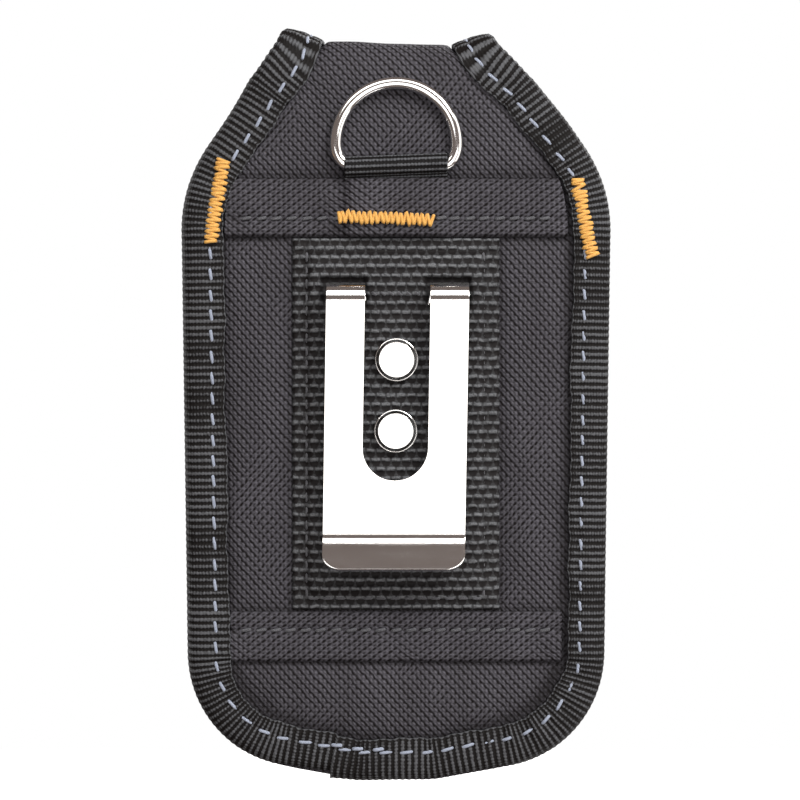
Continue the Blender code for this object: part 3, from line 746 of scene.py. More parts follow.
@dataclass(frozen=True)
class Sheet:
    """The back panel and the flap as one sheet: its outline, its fold and the way it lies in space."""

    height: float = 178.2
    shoulder_width: float = 104.6
    foot_taper: float = 4.0
    fold_width: float = 51.4
    flap_width: float = 57.0
    neck: tuple[float, float] = (34.4, 170.0)
    shoulder_drop: float = 33.4
    shoulder_radius: float = 36.0
    foot_radius: float = 28.0
    foot_flat: float = 9.0
    foot_rise: float = 7.4
    fold_radius: float = 8.2
    fold_slope: float = math.radians(40)
    flap_bend: float = 14.0
    flap_drop: float = 50.0
    flap_corner: float = 14.0
    thickness: float = 5.2
    skew: float = -2.0
    tilt: float = 0.031
    ear_left: float = 3.8
    ear_right: float = 4.1
    ear_width: float = 11.0
    skew_from: tuple[float, float] = (158.0, 22.0)
    skew_to: tuple[float, float] = (195.0, 25.0)
    tilt_from: tuple[float, float] = (172.0, 8.0)

    @property
    def back_rise(self) -> float:
        """Length of the flat back up to the start of the fold."""
        return self.height - self.fold_radius

    @property
    def fold_top(self) -> float:
        """Height s of the highest line of the fold."""
        return self.back_rise + self.fold_radius * math.pi / 2

    @property
    def spine(self) -> tuple[tuple[float, float], ...]:
        """Runs of the sheet's outer face from the foot, over the fold and down the flap."""
        turn = math.pi / 2 + self.fold_slope
        face = DATUM.box("flap_shell")[1][1]
        reach = face - self.fold_radius * (1 - math.cos(turn)) - self.flap_bend * (1 + math.cos(turn))
        return (
            (self.back_rise, 0.0),
            (self.fold_radius * turn, self.fold_radius),
            (reach / math.sin(turn), 0.0),
            (self.flap_bend * (math.pi - turn), self.flap_bend),
            (self.flap_drop, 0.0),
        )

    @property
    def end(self) -> float:
        """Height s of the flap's free edge."""
        return sum(length for length, _ in self.spine)

    def outline(self) -> Array:
        """Right half of the outline (x, s), from the middle of the foot to the middle of the flap."""
        half = self.fold_width / 2
        return rounded((
            (0.0, 0.0, 0.0),
            (self.foot_flat, 0.0, self.foot_radius),
            ((self.shoulder_width - self.foot_taper) / 2, self.foot_rise, self.foot_radius),
            (self.shoulder_width / 2, self.height - self.shoulder_drop, self.shoulder_radius),
            (*self.neck, 20.0),
            (half + 1.3, self.fold_top - 4.9, 6.0),
            (half, self.fold_top + 1.5, 6.0),
            (self.flap_width / 2, self.fold_top + 24.0, 6.0),
            (self.flap_width / 2, self.end, self.flap_corner),
            (0.0, self.end, 0.0),
        ))

    def half_width(self, s: Array) -> Array:
        """Half the sheet's width at a height."""
        x, heights = self.outline().T
        return np.interp(s, heights + np.arange(len(heights)) * 1e-9, x)

    def from_edge(self, x: Array, s: Array) -> Array:
        """Distance in from the outline.

        With a the distance straight across and b the distance straight up or down, a slanting edge
        lies at a b divided by the root of a squared plus b squared.
        """
        outline = self.outline()
        foot = outline[outline[:, 1] < self.foot_radius + self.foot_rise]
        flap = outline[outline[:, 1] > self.end - self.flap_corner - 1.0]
        across = np.maximum(self.half_width(s) - np.abs(x), 0.0)
        rise = np.interp(np.abs(x), foot[:, 0] + np.arange(len(foot)) * 1e-9, foot[:, 1])
        fall = np.interp(np.abs(x), flap[::-1, 0] + np.arange(len(flap)) * 1e-9, flap[::-1, 1])
        rise = np.where(np.abs(x) > foot[:, 0].max() - 0.2, -200.0, rise)
        fall = np.where(np.abs(x) > flap[:, 0].max() - 0.2, 900.0, fall)
        up = np.maximum(np.minimum(s - rise, fall - s), 0.0)
        return across * up / np.maximum(np.hypot(across, up), 1e-6)

    def place(self, x: Array, s: Array, depth: Array) -> Array:
        """A point of the sheet in space; the fold's two ends stand up as ears under the binding."""
        y, z, heading = follow(self.spine, s)
        ear = np.where(x < 0, self.ear_left, self.ear_right) * hump(s, self.fold_top - 2.0, 9.0)
        depth = depth - ear * np.clip(1.0 - (self.half_width(s) - np.abs(x)) / self.ear_width, 0.0, 1.1)
        skewed = ramp(s, *self.skew_from) * (1.0 - ramp(s, *self.skew_to))
        shift = self.skew * skewed
        depth = depth + self.tilt * x * skewed * ramp(s, *self.tilt_from)
        return np.stack([x + shift, y + depth * np.cos(heading), z - depth * np.sin(heading)], axis=-1)


SHEET = Sheet()


@dataclass(frozen=True)
class Route:
    """A line in the sheet's plane along which a tape, a seam or a wall is carried."""

    points: Array
    outward: Array
    along: Array
    closed: bool

    @classmethod
    def round_edge(cls, count: int, inset: float = 0.0) -> "Route":
        """The whole outline, from the middle of the foot to the right, over the flap and back."""
        right = SHEET.outline()
        loop = np.vstack([right, (right[::-1] * (-1, 1))[1:]])
        points = resample(loop, count + 1)[:-1]
        tangent = np.roll(points, -1, axis=0) - np.roll(points, 1, axis=0)
        tangent /= np.linalg.norm(tangent, axis=1)[:, None]
        outward = np.stack([tangent[:, 1], -tangent[:, 0]], axis=1)
        along = np.arange(count) * length_of(loop) / count
        return cls(points - inset * outward, outward, along, True)

    @classmethod
    def round_foot(cls, top: float, count: int, inset: float = 0.0) -> "Route":
        """The outline below a height, from the left side under the foot to the right side."""
        right = SHEET.outline()
        cut = SHEET.half_width(np.array([top]))[0]
        right = np.vstack([right[right[:, 1] < top], [[cut, top]]])
        chain = np.vstack([(right * (-1, 1))[:0:-1], right])
        points = resample(chain, count)
        tangent = np.gradient(points, axis=0)
        tangent /= np.linalg.norm(tangent, axis=1)[:, None]
        tangent[[0, -1], 0] = 0.0
        outward = np.stack([tangent[:, 1], -tangent[:, 0]], axis=1)
        outward /= np.linalg.norm(outward, axis=1)[:, None]
        return cls(points - inset * outward, outward, np.linspace(0, length_of(chain), count), False)

    @classmethod
    def level(cls, low: float, high: float, s: float, count: int) -> "Route":
        """A straight line across at a height, whose outward side is up."""
        x = np.linspace(low, high, count)
        return cls(np.stack([x, np.full(count, s)], 1), np.tile((0.0, 1.0), (count, 1)), x - low, False)


def slab(x: Array, s: Array, top: Array, under: Array, place: Callable[..., Array],
         relief_and_shade: Optional[Array] = None) -> Surface:
    """A closed flat body: each ring runs over its top from left to right and back underneath.

    Args:
        x: Places across, of shape (nu, nv) or that broadcasts to it.
        s: Places along.
        top: Depth of the visible face.
        under: Depth of the hidden face.
        place: Turns x, s and depth into points.
        relief_and_shade: 0 to 1, and the colour is darker where it is low; it holds the height of the
            face's ribs and painted shade along its creases, edges and seams.

    Returns:
        The grid, with UV in millimetres.
    """
    x, s, top, under = np.broadcast_arrays(x, s, top, under)
    ring = [np.concatenate([part, part[::-1]]) for part in (x, s)]
    points = place(*ring, np.concatenate([top, under[::-1]]))
    uv = np.stack([np.concatenate([part, part[:1]]) for part in ring], axis=-1)
    if relief_and_shade is not None:
        relief_and_shade = np.concatenate([np.broadcast_to(relief_and_shade, x.shape), np.zeros(x.shape)])
    return Surface(points, uv, closed_u=True, capped=True, relief_and_shade=relief_and_shade)


def bullnose(distance: Array, radius: float) -> Array:
    """Rounded edge: 0 at the edge, rising along a quarter circle to 1 at the radius."""
    t = np.clip(distance / radius, 0.0, 1.0)
    return np.sqrt(1.0 - (1.0 - t) ** 2)


def eased(count: int, low: float, high: float, ease: float = 0.35) -> Array:
    """Stops from low to high that crowd towards both ends."""
    t = np.linspace(0.0, 1.0, count)
    return low + (high - low) * ((1 - ease) * t + ease * (0.5 - 0.5 * np.cos(math.pi * t)))


@dataclass(frozen=True)
class RibbedTape:
    """Binding tape folded over an edge, with ribs that run from edge to edge.

    The section starts at the inner edge of the face, runs out over a slight dome, round the edge
    as half an ellipse, back along the hidden leg, and returns inside at the tape's thickness.
    """

    width: float = TAPE_WIDTH
    thickness: float = 0.9
    pitch: float = 1.6
    rib: float = 0.26
    dome: float = 0.45
    edge: float = 2.6
    stitch: float = 7.2
    samples: int = 6
    seed: int = 1

    def count(self, length: float) -> int:
        """Number of sections along a length, a whole number for each rib."""
        return round(length / self.pitch) * self.samples

    def section(self, width: Array, face: Array, back: Array) -> tuple[Array, Array, Array, Array]:
        """Places in from the edge, depths, and the direction that the ribs stand up in.

        Args:
            width: Width of the face at each section, of shape (1, n).
            face: Depth of the visible leg's face.
            back: Depth of the other leg's face.

        Returns:
            Arrays of shape (profile, n): inset, depth, rib direction across, rib direction in depth.
        """
        sign = np.sign(back - face)
        f = np.array([0.0, 0.03, 0.07, 0.12, 0.2, 0.3, 0.4, 0.5, 0.6, 0.7, 0.8, 0.9, 1.0])[:, None]
        dome = self.dome * np.sin(math.pi * np.clip(f * 0.92 + 0.08, 0, 1)) ** 0.7
        leg = (width + (self.edge - width) * f, face - sign * dome, 0 * f * width, -sign + 0 * f * width)
        lip = (width + 0 * sign, face + sign * (self.thickness + 0.1), 0 * width, 0 * width)
        angle = np.linspace(0.0, math.pi, 10)[1:-1, None]
        middle, reach = (face + back) / 2, (back - face) / 2
        nose = (self.edge * (1 - np.sin(angle)) + 0 * width, middle - reach * np.cos(angle),
                -np.sin(angle) + 0 * width, -np.cos(angle) * sign)
        f = np.linspace(0.0, 1.0, 4)[:, None]
        hidden = (self.edge + (width - self.edge) * f, back + 0 * f, 0 * f * width, sign + 0 * f * width)
        f = np.array([1.0, 0.35, 0.35, 1.0])[:, None]
        low = np.array([1.0, 1.0, 0.0, 0.0])[:, None]
        inside = face + sign * self.thickness + low * (back - face - 2 * sign * self.thickness)
        lining = (self.edge * 0.6 + (width - 0.1 - self.edge * 0.6) * f, inside, 0 * f * width,
                  0 * f * width)
        parts = [np.broadcast_arrays(*part) for part in (lip, leg, nose, hidden, lining)]
        return tuple(np.concatenate([part[k].reshape(-1, width.shape[1]) for part in parts])
                     for k in range(4))

    def carry(self, route: Route, width: Array, face: Array, back: Array, loose: Array) -> Surface:
        """Carries the section along a route and raises a rib for every pitch.

        The rib's height is a cosine of the length along the route; the inner edge waves a little,
        and where the tape is loose its face puckers between the stitches.

        Args:
            route: The edge that the tape covers.
            width: Face width at each point of the route.
            face: Depth of the face at each point.
            back: Depth of the other leg.
            loose: Height of the puckers at each point.

        Returns:
            The grid. Its relief_and_shade value is the ribs' height, which also paints their valleys dark
            as shade; it is a little darker about 1.1 mm in from the folded edge, and holds a painted shade
            line just inside the inner edge and a lighter line along that edge.
        """
        along = route.along[None]
        phase = np.arange(len(route.along)) * 2 * math.pi / self.samples
        crest = (0.5 + 0.5 * np.cos(phase))[None] ** 0.8
        drift = ripple(along, along * 0, 9.0, self.seed)
        width = width[None] + 0.22 * drift + 0.12 * np.sin(along * 2 * math.pi / 4.8)
        inset, depth, out, up = self.section(width, face[None], back[None])
        share = inset / width
        rise = self.rib * crest * (0.25 * np.abs(out) + np.abs(up))
        rise = rise - 0.3 * hump(inset, self.stitch, 0.8) * (up * np.sign(face - back)[None] > 0.5)
        wave = ripple(along, inset * 0.4, 5.2, self.seed + 3, 5)
        rise = rise + loose[None] * wave * smooth(share * 1.3) * (np.abs(up) > 0.5)
        inset = inset + out * rise
        depth = depth + up * rise
        x, s = (route.points[:, k][None] - inset * route.outward[:, k][None] for k in (0, 1))
        points = SHEET.place(x, s, depth)
        steps = np.linalg.norm(np.diff(points, axis=0), axis=-1).mean(axis=1)
        across = np.concatenate([[0.0], np.cumsum(steps), [steps.sum() + self.thickness]])
        lengths = np.append(route.along, route.along[-1] + route.along[1]) if route.closed else route.along
        uv = np.stack(np.meshgrid(across, lengths, indexing="ij"), axis=-1)
        # Painted shade: rib valleys dark and a dark line just inside the inner edge; also darker near the
        # fold, and a lighter line on the inner edge.
        relief_and_shade = crest * (0.86 + 0.14 * drift) * (1 - 0.35 * hump(inset, 1.1, 0.3))
        relief_and_shade = relief_and_shade * (1 - 0.4 * hump(inset, width - 0.55, 0.3)) + 0.5 * hump(inset, width, 0.14)
        relief_and_shade = np.broadcast_to(relief_and_shade, inset.shape)
        return Surface(points, uv, closed_u=True, closed_v=route.closed, capped=not route.closed,
                       relief_and_shade=relief_and_shade)


def stitches(centres: Array, forward: Array, up: Array, length: float, width: float, height: float,
             sides: int = 8) -> Surface:
    """Equal thread floats: each is a thin round bar, humped so that both ends dive into the cloth.

    Args:
        centres: Middle of each float on the surface, of shape (n, 3).
        forward: Direction of each float.
        up: Direction away from the surface.
        length: Visible length of a float.
        width: Width across the thread.
        height: How far its middle stands up.
        sides: Sides of the thread's section.

    Returns:
        The grids of all the floats.
    """
    t = np.linspace(-1.0, 1.0, 9)[None, :, None, None]
    turn = np.linspace(0.0, 2 * math.pi, sides, endpoint=False)[None, None, :, None]
    forward = forward / np.linalg.norm(forward, axis=1)[:, None]
    up = up - forward * (up * forward).sum(axis=1)[:, None]
    up = up / np.linalg.norm(up, axis=1)[:, None]
    side = np.cross(forward, up)
    c, f, u, w = (a[:, None, None, :] for a in (centres, forward, up, side))
    radius = np.sqrt(1.0 - t**6) * 0.999 + 0.001
    points = c + f * t * length / 2 + u * (height * (1.0 - 1.25 * t * t) - height * 0.3)
    points = points + (w * np.cos(turn) * width / 2 + u * np.sin(turn) * width * 0.36) * radius
    return Surface(points, None, closed_v=True)


def seam(x: Array, s: Array, depth: Array, pitch: float, length: float, width: float = 0.9,
         height: float = 0.3, slant: float = 0.0) -> Surface:
    """Stitches at even steps along a line of the sheet.

    Args:
        x: Places across of the line.
        s: Places along of the line.
        depth: Depth of the surface along it.
        pitch: Distance from stitch to stitch.
        length: Visible length of one.
        width: Width of the thread.
        height: How far a stitch stands up.
        slant: Angle between a stitch and the line.

    Returns:
        The grids of the stitches.
    """
    line = np.stack(np.broadcast_arrays(x, s, depth), axis=1).astype(float)
    on = SHEET.place(*line.T)
    lifted = SHEET.place(line[:, 0], line[:, 1], line[:, 2] - 0.5) - on
    along = np.append(0.0, np.cumsum(np.linalg.norm(np.diff(on, axis=0), axis=1)))
    count = max(1, int(along[-1] / pitch))
    spread = np.random.default_rng(SEED).normal(0.0, 0.12, count)
    stops = (np.arange(count) + 0.5) * along[-1] / count + spread

    def at(distance: Array, values: Array) -> Array:
        return np.stack([np.interp(distance, along, column) for column in values.T], axis=1)

    centres, up = at(stops, on), at(stops, lifted)
    forward = at(stops + 0.6, on) - at(stops - 0.6, on)
    side = np.cross(forward, up)
    side *= (np.linalg.norm(forward, axis=1) / np.linalg.norm(side, axis=1))[:, None]
    forward = forward * math.cos(slant) + side * math.sin(slant)
    return stitches(centres, forward, up, length, width, height)


def tube(path: Array, radius: Array, sides: int, up: Array, closed: bool = False) -> Surface:
    """A round bar along a path: circles square to it, drawn from one fixed up direction.

    Args:
        path: Centre line, of shape (n, 3).
        radius: Radius at each point.
        sides: Sides of the circle.
        up: A direction that is never along the path.
        closed: Whether the path closes on itself.

    Returns:
        The grid; an open bar's ends shrink to points.
    """
    if closed:
        forward = np.roll(path, -1, axis=0) - np.roll(path, 1, axis=0)
    else:
        forward = np.gradient(path, axis=0)
    forward /= np.linalg.norm(forward, axis=1)[:, None]
    side = np.cross(forward, up)
    side /= np.linalg.norm(side, axis=1)[:, None]
    over = np.cross(side, forward)
    turn = np.linspace(0, 2 * math.pi, sides, endpoint=False)[None, :, None]
    ring = side[:, None] * np.cos(turn) + over[:, None] * np.sin(turn)
    points = path[:, None] + ring * np.broadcast_to(radius, len(path))[:, None, None]
    steps = np.linalg.norm(np.diff(path, axis=0), axis=1)
    along = np.append(0.0, np.cumsum(steps))
    along = np.append(along, along[-1] + steps.mean()) if closed else along
    around = np.linspace(0, 2 * math.pi * float(np.max(radius)), sides + 1)
    uv = np.stack(np.meshgrid(along, around, indexing="ij"), axis=-1)
    return Surface(points, uv, closed_u=closed, closed_v=True)


def turned(profile: Array, x: float, z: float, sides: int = 56) -> Surface:
    """A profile of (radius, y) turned about a line along Y."""
    turn = np.linspace(0, 2 * math.pi, sides, endpoint=False)[None]
    r, y = profile[:, :1], profile[:, 1:]
    points = np.stack([x + r * np.cos(turn), y + 0 * turn, z + r * np.sin(turn)], axis=-1)
    return Surface(points, None, closed_v=True)


def claim(piece: bpy.types.Object, where: str, nodes: Sequence[str]) -> None:
    """Hides the CAD nodes that a finished piece stands for, and logs its number of faces."""
    if nodes:
        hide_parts(*nodes)
    log.info("%s: %d faces %s", piece.name, len(piece.data.polygons), where)


def on_body(piece: bpy.types.Object, body: str, slot: str, *nodes: str) -> None:
    """Lets a finished piece ride on one body."""
    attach(piece, body)
    claim(piece, f"on {body}", nodes)


def on_pouch(piece: bpy.types.Object, slot: str, *nodes: str) -> None:
    """Lets a finished piece ride on the pouch."""
    on_body(piece, "pouch", slot, *nodes)


def over_fold(piece: bpy.types.Object, slot: str, *nodes: str) -> None:
    """Bakes the place of a finished piece that runs from the pouch over the fold to the flap; it rides on
    no body.
    """
    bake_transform(piece)
    claim(piece, "over the fold", nodes)


# ---------------------------------------------------------------------------------------------
# Sub-assemblies
# ---------------------------------------------------------------------------------------------


@dataclass
class PaddedBack:
    """Back panel and flap: quilted shell and foam in one piece, and the lining inside."""

    inset: float = 2.4
    puff: float = 1.6
    top_puff: float = 1.0
    seam: float = 4.5
    fold_seam: float = 0.5
    band_seam: float = 3.2
    patch_seam: float = 3.5
    patch_half: float = 45.0
    fold_thinning: float = 1.6
    lining: float = 0.6
    rings: int = 250
    across: int = 96

    def swell(self, x: Array, s: Array) -> Array:
        """How far the face stands out: it rises from every seam as 1 less exp(-distance / seam)."""
        binding = TAPE_WIDTH + (FLAP_TAPE_WIDTH - TAPE_WIDTH) * ramp(s, SHEET.fold_top, 8)
        free = np.maximum(SHEET.from_edge(x, s) - binding, 0.0)
        low, high = (DATUM.box(name) for name in ("lower_band", "upper_band"))
        patch = DATUM.box("clip_webbing")
        above = ramp(s, high[1][2], 4)
        beyond = ramp(s, SHEET.back_rise, 12)
        rise = self.puff * (1 - above) + above * (self.top_puff + (self.puff - self.top_puff) * beyond)
        sharp = np.maximum(beyond, smooth((s - SHEET.fold_top + 6) / 5))
        rise = rise * (1 - np.exp(-free / (self.seam - (self.seam - self.fold_seam) * sharp)))
        for band in (low, high):
            middle, half = (band[0][2] + band[1][2]) / 2, (band[1][2] - band[0][2]) / 2
            rise = rise * (1 - np.exp(-np.maximum(np.abs(s - middle) - half, 0) / self.band_seam))
        outside = np.hypot(np.maximum(np.abs(x) - patch[1][0], 0),
                           np.maximum(np.abs(s - (patch[0][2] + patch[1][2]) / 2) - self.patch_half, 0))
        rise = rise * (1 - np.exp(-outside / self.patch_seam) * (s < high[1][2]))
        return rise + 0.14 * ripple(x, s, 16.0, 2) * (1 - np.exp(-free / 5)) * (rise > 0.05)

    def grid(self) -> tuple[Array, Array]:
        """Places across and heights of the sheet's inner parts, inset from its outline."""
        s = eased(self.rings, 0.6, SHEET.end - 0.6, 0.25)[None]
        share = eased(self.across, -1.0, 1.0)[:, None]
        return share * np.maximum(SHEET.half_width(s) - self.inset, 2.0), s

    def build(self, finishes: Finishes) -> None:
        """Makes the quilted piece and its lining and hangs both over the fold."""
        x, s = self.grid()
        face = -self.swell(x, s)
        # Painted shade on the quilted face: darker in a narrow band along the tape's inner edge, round both
        # bands and round the webbing patch.
        crease_and_edge_shade = np.maximum(SHEET.from_edge(x, s) - TAPE_WIDTH, 0.0) / 0.9
        for node, gap in (("lower_band", 1.0), ("upper_band", 1.2), ("clip_webbing", 0.8)):
            low, high = DATUM.box(node)
            outside = np.hypot(np.maximum(np.abs(x) - high[0], 0),
                               np.maximum(np.abs(s - (low[2] + high[2]) / 2) - (high[2] - low[2]) / 2, 0))
            crease_and_edge_shade = np.minimum(crease_and_edge_shade, outside / gap)
        shade = 1.0 - 0.6 * np.exp(-crease_and_edge_shade)
        bend = smooth((s - SHEET.fold_top + 8) / 6) * smooth((SHEET.fold_top + 40 - s) / 8)
        foam = SHEET.thickness - self.lining - GAP - self.fold_thinning * bend
        body = slab(x, s, face, foam, SHEET.place, relief_and_shade=shade)
        pad = mesh_of("quilted_back_and_flap", [body], finishes.cloth)
        over_fold(pad, "ballistic_fabric", "back_panel_shell", "back_panel_foam", "flap_shell", "flap_foam")
        x, s = x[::2, ::2], s[:, ::2]
        crease_and_edge_shade = 0.1 * ripple(x, s, 12.0, 5)
        near, far = foam[:, ::2] + GAP + crease_and_edge_shade * 0.5, SHEET.thickness + crease_and_edge_shade
        inner = mesh_of("inner_lining", [slab(x, s, near, far, SHEET.place)], finishes.lining)
        over_fold(inner, "lining", "back_panel_lining", "flap_lining")


@dataclass
class EdgeBinding:
    """One ribbed tape round the back panel and the flap, lapped at the foot and double stitched."""

    tape: RibbedTape = field(default_factory=RibbedTape)
    flap_width: float = FLAP_TAPE_WIDTH
    outer: float = -1.2
    over_gusset: float = 8.1
    over_sheet: float = 6.4
    lap: float = 15.9
    lap_step: float = 0.5
    lap_corner: float = 0.85
    lap_rise: float = 0.5
    band_rise: float = 0.45
    right_less: float = 1.2
    pitch: float = 5.0
    stitch: float = 3.6
    lock: tuple[float, float] = (-9.0, 7.5)
    lock_step: float = 0.75

    def width(self, x: Array, s: Array) -> Array:
        """Width of the face: less down the right side and where the tape comes over the fold."""
        right = self.right_less * smooth(x / 20) * ramp(s, 15, 15) * smooth((165 - s) / 20)
        return self.tape.width - right + (self.flap_width - self.tape.width) * ramp(s, SHEET.fold_top, 8)

    def lifted(self, s: Array) -> Array:
        """How far the tape rides up over the ends of the two bands."""
        rise = 0.0 * s
        for node in ("lower_band", "upper_band"):
            low, high = DATUM.box(node)
            rise = rise + smooth((s - low[2] + 1) / 2) * smooth((high[2] + 1 - s) / 2)
        return self.band_rise * rise

    def build(self, finishes: Finishes) -> None:
        """Makes the tape and the grey blue seam that holds it."""
        length = length_of(Route.round_edge(4000).points)
        count = self.tape.count(length)
        route = Route.round_edge(count)
        s, along = route.points[:, 1], route.along
        past = (along - (length - self.lap)) % length
        before = (length - self.lap - along) % length
        step = self.lap_corner * np.exp(-past / 6) - self.lap_step * np.exp(-before / 12)
        lapped = Route(route.points + step[:, None] * route.outward, route.outward, along, True)
        face = self.outer - self.lifted(s) - self.lap_rise * np.exp(-past / 10)
        back = self.over_gusset + (self.over_sheet - self.over_gusset) * ramp(s, 152, 8)
        x = lapped.points[:, 0]
        loose = 0.05 + 0.3 * hump(s, 14.0, 13.0) * (np.abs(x) > 18)
        grid = self.tape.carry(lapped, self.width(x, s) + 0.8 * step, face, back, loose)
        piece = mesh_of("edge_binding_tape", [grid], finishes.tape)
        over_fold(piece, "binding_tape", "edge_binding", "flap_binding")
        self.sew(finishes, face, route)

    def sew(self, finishes: Finishes, face: Array, route: Route) -> None:
        """Sews the seam along the tape's face, with a few stitches over it where the tape laps."""
        inset = self.tape.stitch * self.width(*route.points.T) / self.tape.width
        line = route.points - inset[:, None] * route.outward
        depth = face - self.tape.dome * 0.72 + 0.12
        line, depth = np.vstack([line, line[:1]]), np.append(depth, depth[0])
        surfaces = [seam(*line.T, depth, self.pitch, self.stitch, 0.78, slant=math.radians(-8))]
        middle, half = self.lock
        near = (np.abs(line[:, 0] - middle) < half) & (line[:, 1] < 12.0)
        order = np.argsort(line[near, 0])
        x, s = line[near].T
        surfaces.append(seam(x[order], s[order] + self.lock_step, depth[near][order] - 0.1, 4.3, 3.2,
                             slant=math.radians(-9)))
        piece = mesh_of("edge_seam", surfaces, finishes.grey_blue, weld=0.001)
        over_fold(piece, "binding_tape")


@dataclass
class CrossBand:
    """A folded band of cloth across the back, sewn down along one line."""

    node: str
    name: str
    seam_rise: float
    puff: float = 0.45
    # Strength of the painted shade along the band's folded edges.
    crease_and_edge_shade: float = 0.75
    raised: float = 0.0
    raised_half: float = 12.2
    seam_half: float = 38.0
    body: tuple[float, float] = (0.35, 0.75)
    pull: float = 0.22
    columns: int = 150
    rows: int = 40

    def build(self, finishes: Finishes) -> None:
        """Makes the band: its face swells between its folded edges and its seam."""
        low, high = DATUM.box(self.node)
        z = eased(self.rows, low[2], high[2])[None]
        x = eased(self.columns, -1.0, 1.0, 0.15)[:, None] * (SHEET.half_width(z) - TAPE_WIDTH - GAP)
        seam_z = low[2] + self.seam_rise
        from_side = np.minimum(z - low[2], high[2] - z)
        height = self.body[0] + self.body[1] * bullnose(from_side, 1.1)
        height = height + self.puff * (1 - np.exp(-np.abs(z - seam_z) / 1.6)) * bullnose(from_side, 3.0)
        height = height + self.raised * smooth((self.raised_half + 1.6 - np.abs(x)) / 3.2)
        pull = 0.5 + 0.5 * np.cos(2 * math.pi * x / 3.6)
        height = height - self.pull * hump(z, seam_z, 0.8) * (0.6 + 0.4 * pull)
        height = height + 0.11 * ripple(x, z, 7.5, 11) * bullnose(from_side, 3.0)
        # Painted shade: dark along the folded edges and in the dimples where the seam pulls the band in.
        shade = (1 - self.crease_and_edge_shade * np.exp(-from_side / 0.5)) * (1 - 0.45 * hump(z, seam_z, 0.5) * pull)
        body = slab(x, z, -GAP - height + 0.3, -0.15 - 0 * x, SHEET.place, relief_and_shade=shade)
        piece = mesh_of(self.name, [body], finishes.band_cloth)
        on_pouch(piece, "ballistic_fabric", self.node)
        line = np.linspace(-self.seam_half, self.seam_half, 200)
        depth = -GAP - 0.9 - self.raised * smooth((self.raised_half + 1.6 - np.abs(line)) / 3.2)
        thread = seam(line, 0 * line + seam_z, depth - 0.1, 3.6, 2.7, 0.8, 0.22, math.radians(-10))
        on_pouch(mesh_of(self.name + "_seam", [thread], finishes.black_thread, weld=0.001),
                 "ballistic_fabric")


@dataclass
class WebbingPatch:
    """Heavy webbing under the clip: rows of beads in half brick offset, raised over the plate."""

    rib: float = 0.5
    rim: float = 2.2
    hem: float = 3.0
    side_hems: tuple[float, float] = (3.5, 3.9)
    thread: tuple[float, float, float, float] = (3.2, 2.5, 0.62, 0.16)
    slot_half: float = 6.6
    slit_depth: float = 1.6
    columns: int = 152
    samples: int = 6

    def beads(self, x: Array, z: Array) -> Array:
        """Relief 0 to 1: a ridge along each row, and beads that narrow upwards from it."""
        row, q = np.divmod(z / WEB_ROW, 1.0)
        w = 0.5 + 0.5 * np.cos(2 * math.pi * (x / WEB_BEAD + 0.5 * row))
        line = smooth(1.3 - np.abs(q - 0.48) / 0.27)
        body = smooth((0.62 + 0.5 * w - q) / 0.3) * smooth((q - 0.2) / 0.3)
        return np.maximum(line * (0.7 + 0.3 * w), 0.35 * body)

    def build(self, finishes: Finishes) -> None:
        """Makes the webbing and the black stitches round it."""
        low, high = DATUM.box("clip_webbing")
        crown = DATUM.box("clip_spring_leg")[1][2]
        clip = DATUM.box("clip_spring_leg")[1][0]
        rows = round((high[2] - low[2]) / WEB_ROW) * self.samples
        z = np.linspace(low[2], high[2], rows + 1)[None]
        x = np.linspace(low[0], high[0], self.columns)[:, None]
        side = np.minimum(x - low[0], high[0] - x)
        end = np.minimum(z - low[2], high[2] - z)
        border = np.minimum(side, end)
        beads = self.beads(x, z - low[2])
        hem = smooth((3.6 - side) / 1.0)
        beads = np.clip(beads * (0.9 + 0.2 * ripple(x, z, 3.0, 17)), 0, 1.15)
        base = 0.5 + 1.0 * bullnose(border, 1.2)
        base = base + 2.0 * smooth((side - self.rim) / 3.0) * smooth((end - self.rim) / 3.6)
        prongs = ramp(np.abs(x), self.slot_half, 1.2) * smooth((clip + 1.6 - np.abs(x)) / 1.2)
        slit = prongs * ramp(z, crown - 7, 3) * smooth((crown + 2.1 - z) / 1.2)
        base = base - self.slit_depth * slit
        row = smooth((0.5 - np.abs(z - (crown - 2.6))) / 0.5) * (np.abs(x) < self.slot_half)
        sewn = 0.3 * hump(side, 3.5, 0.5) + 0.25 * hump(end, 3.0, 0.5) + 0.2 * row
        height = base - sewn + self.rib * (beads - 0.6)
        under = -np.maximum(base - 1.3, 0.15)
        # Painted shade: dark in the slits where the prongs go in and along the side seams, and a little
        # darker over the side hems.
        relief_and_shade = (1 - 0.75 * slit) * (1 - 0.5 * hump(side, 3.5, 0.45)) * (1 - 0.12 * hem)
        body = slab(x, z, -height, under, SHEET.place, relief_and_shade=relief_and_shade)
        on_pouch(mesh_of("webbing_patch", [body], finishes.webbing), "webbing", "clip_webbing")
        self.sew(finishes, low, high, crown)

    def sew(self, finishes: Finishes, low: Array, high: Array, crown: float) -> None:
        """Sews the patch down both sides, along its foot and between the prongs."""
        z = np.linspace(low[2] + self.hem, high[2] - self.hem, 120)
        left, right = low[0] + self.side_hems[0], high[0] - self.side_hems[1]
        surfaces = [seam(0 * z + place, z, 0 * z - 1.75, *self.thread) for place in (left, right)]
        x = np.linspace(left, right, 80)
        surfaces.append(seam(x, 0 * x + low[2] + self.hem, 0 * x - 1.8, *self.thread))
        x = np.linspace(-6.3, 6.3, 30)
        surfaces.append(seam(x, 0 * x + crown - 2.6, 0 * x - 3.75, 2.0, 1.5, 0.6, 0.2, math.radians(35)))
        on_pouch(mesh_of("patch_seam", surfaces, finishes.black_thread, weld=0.001), "webbing")


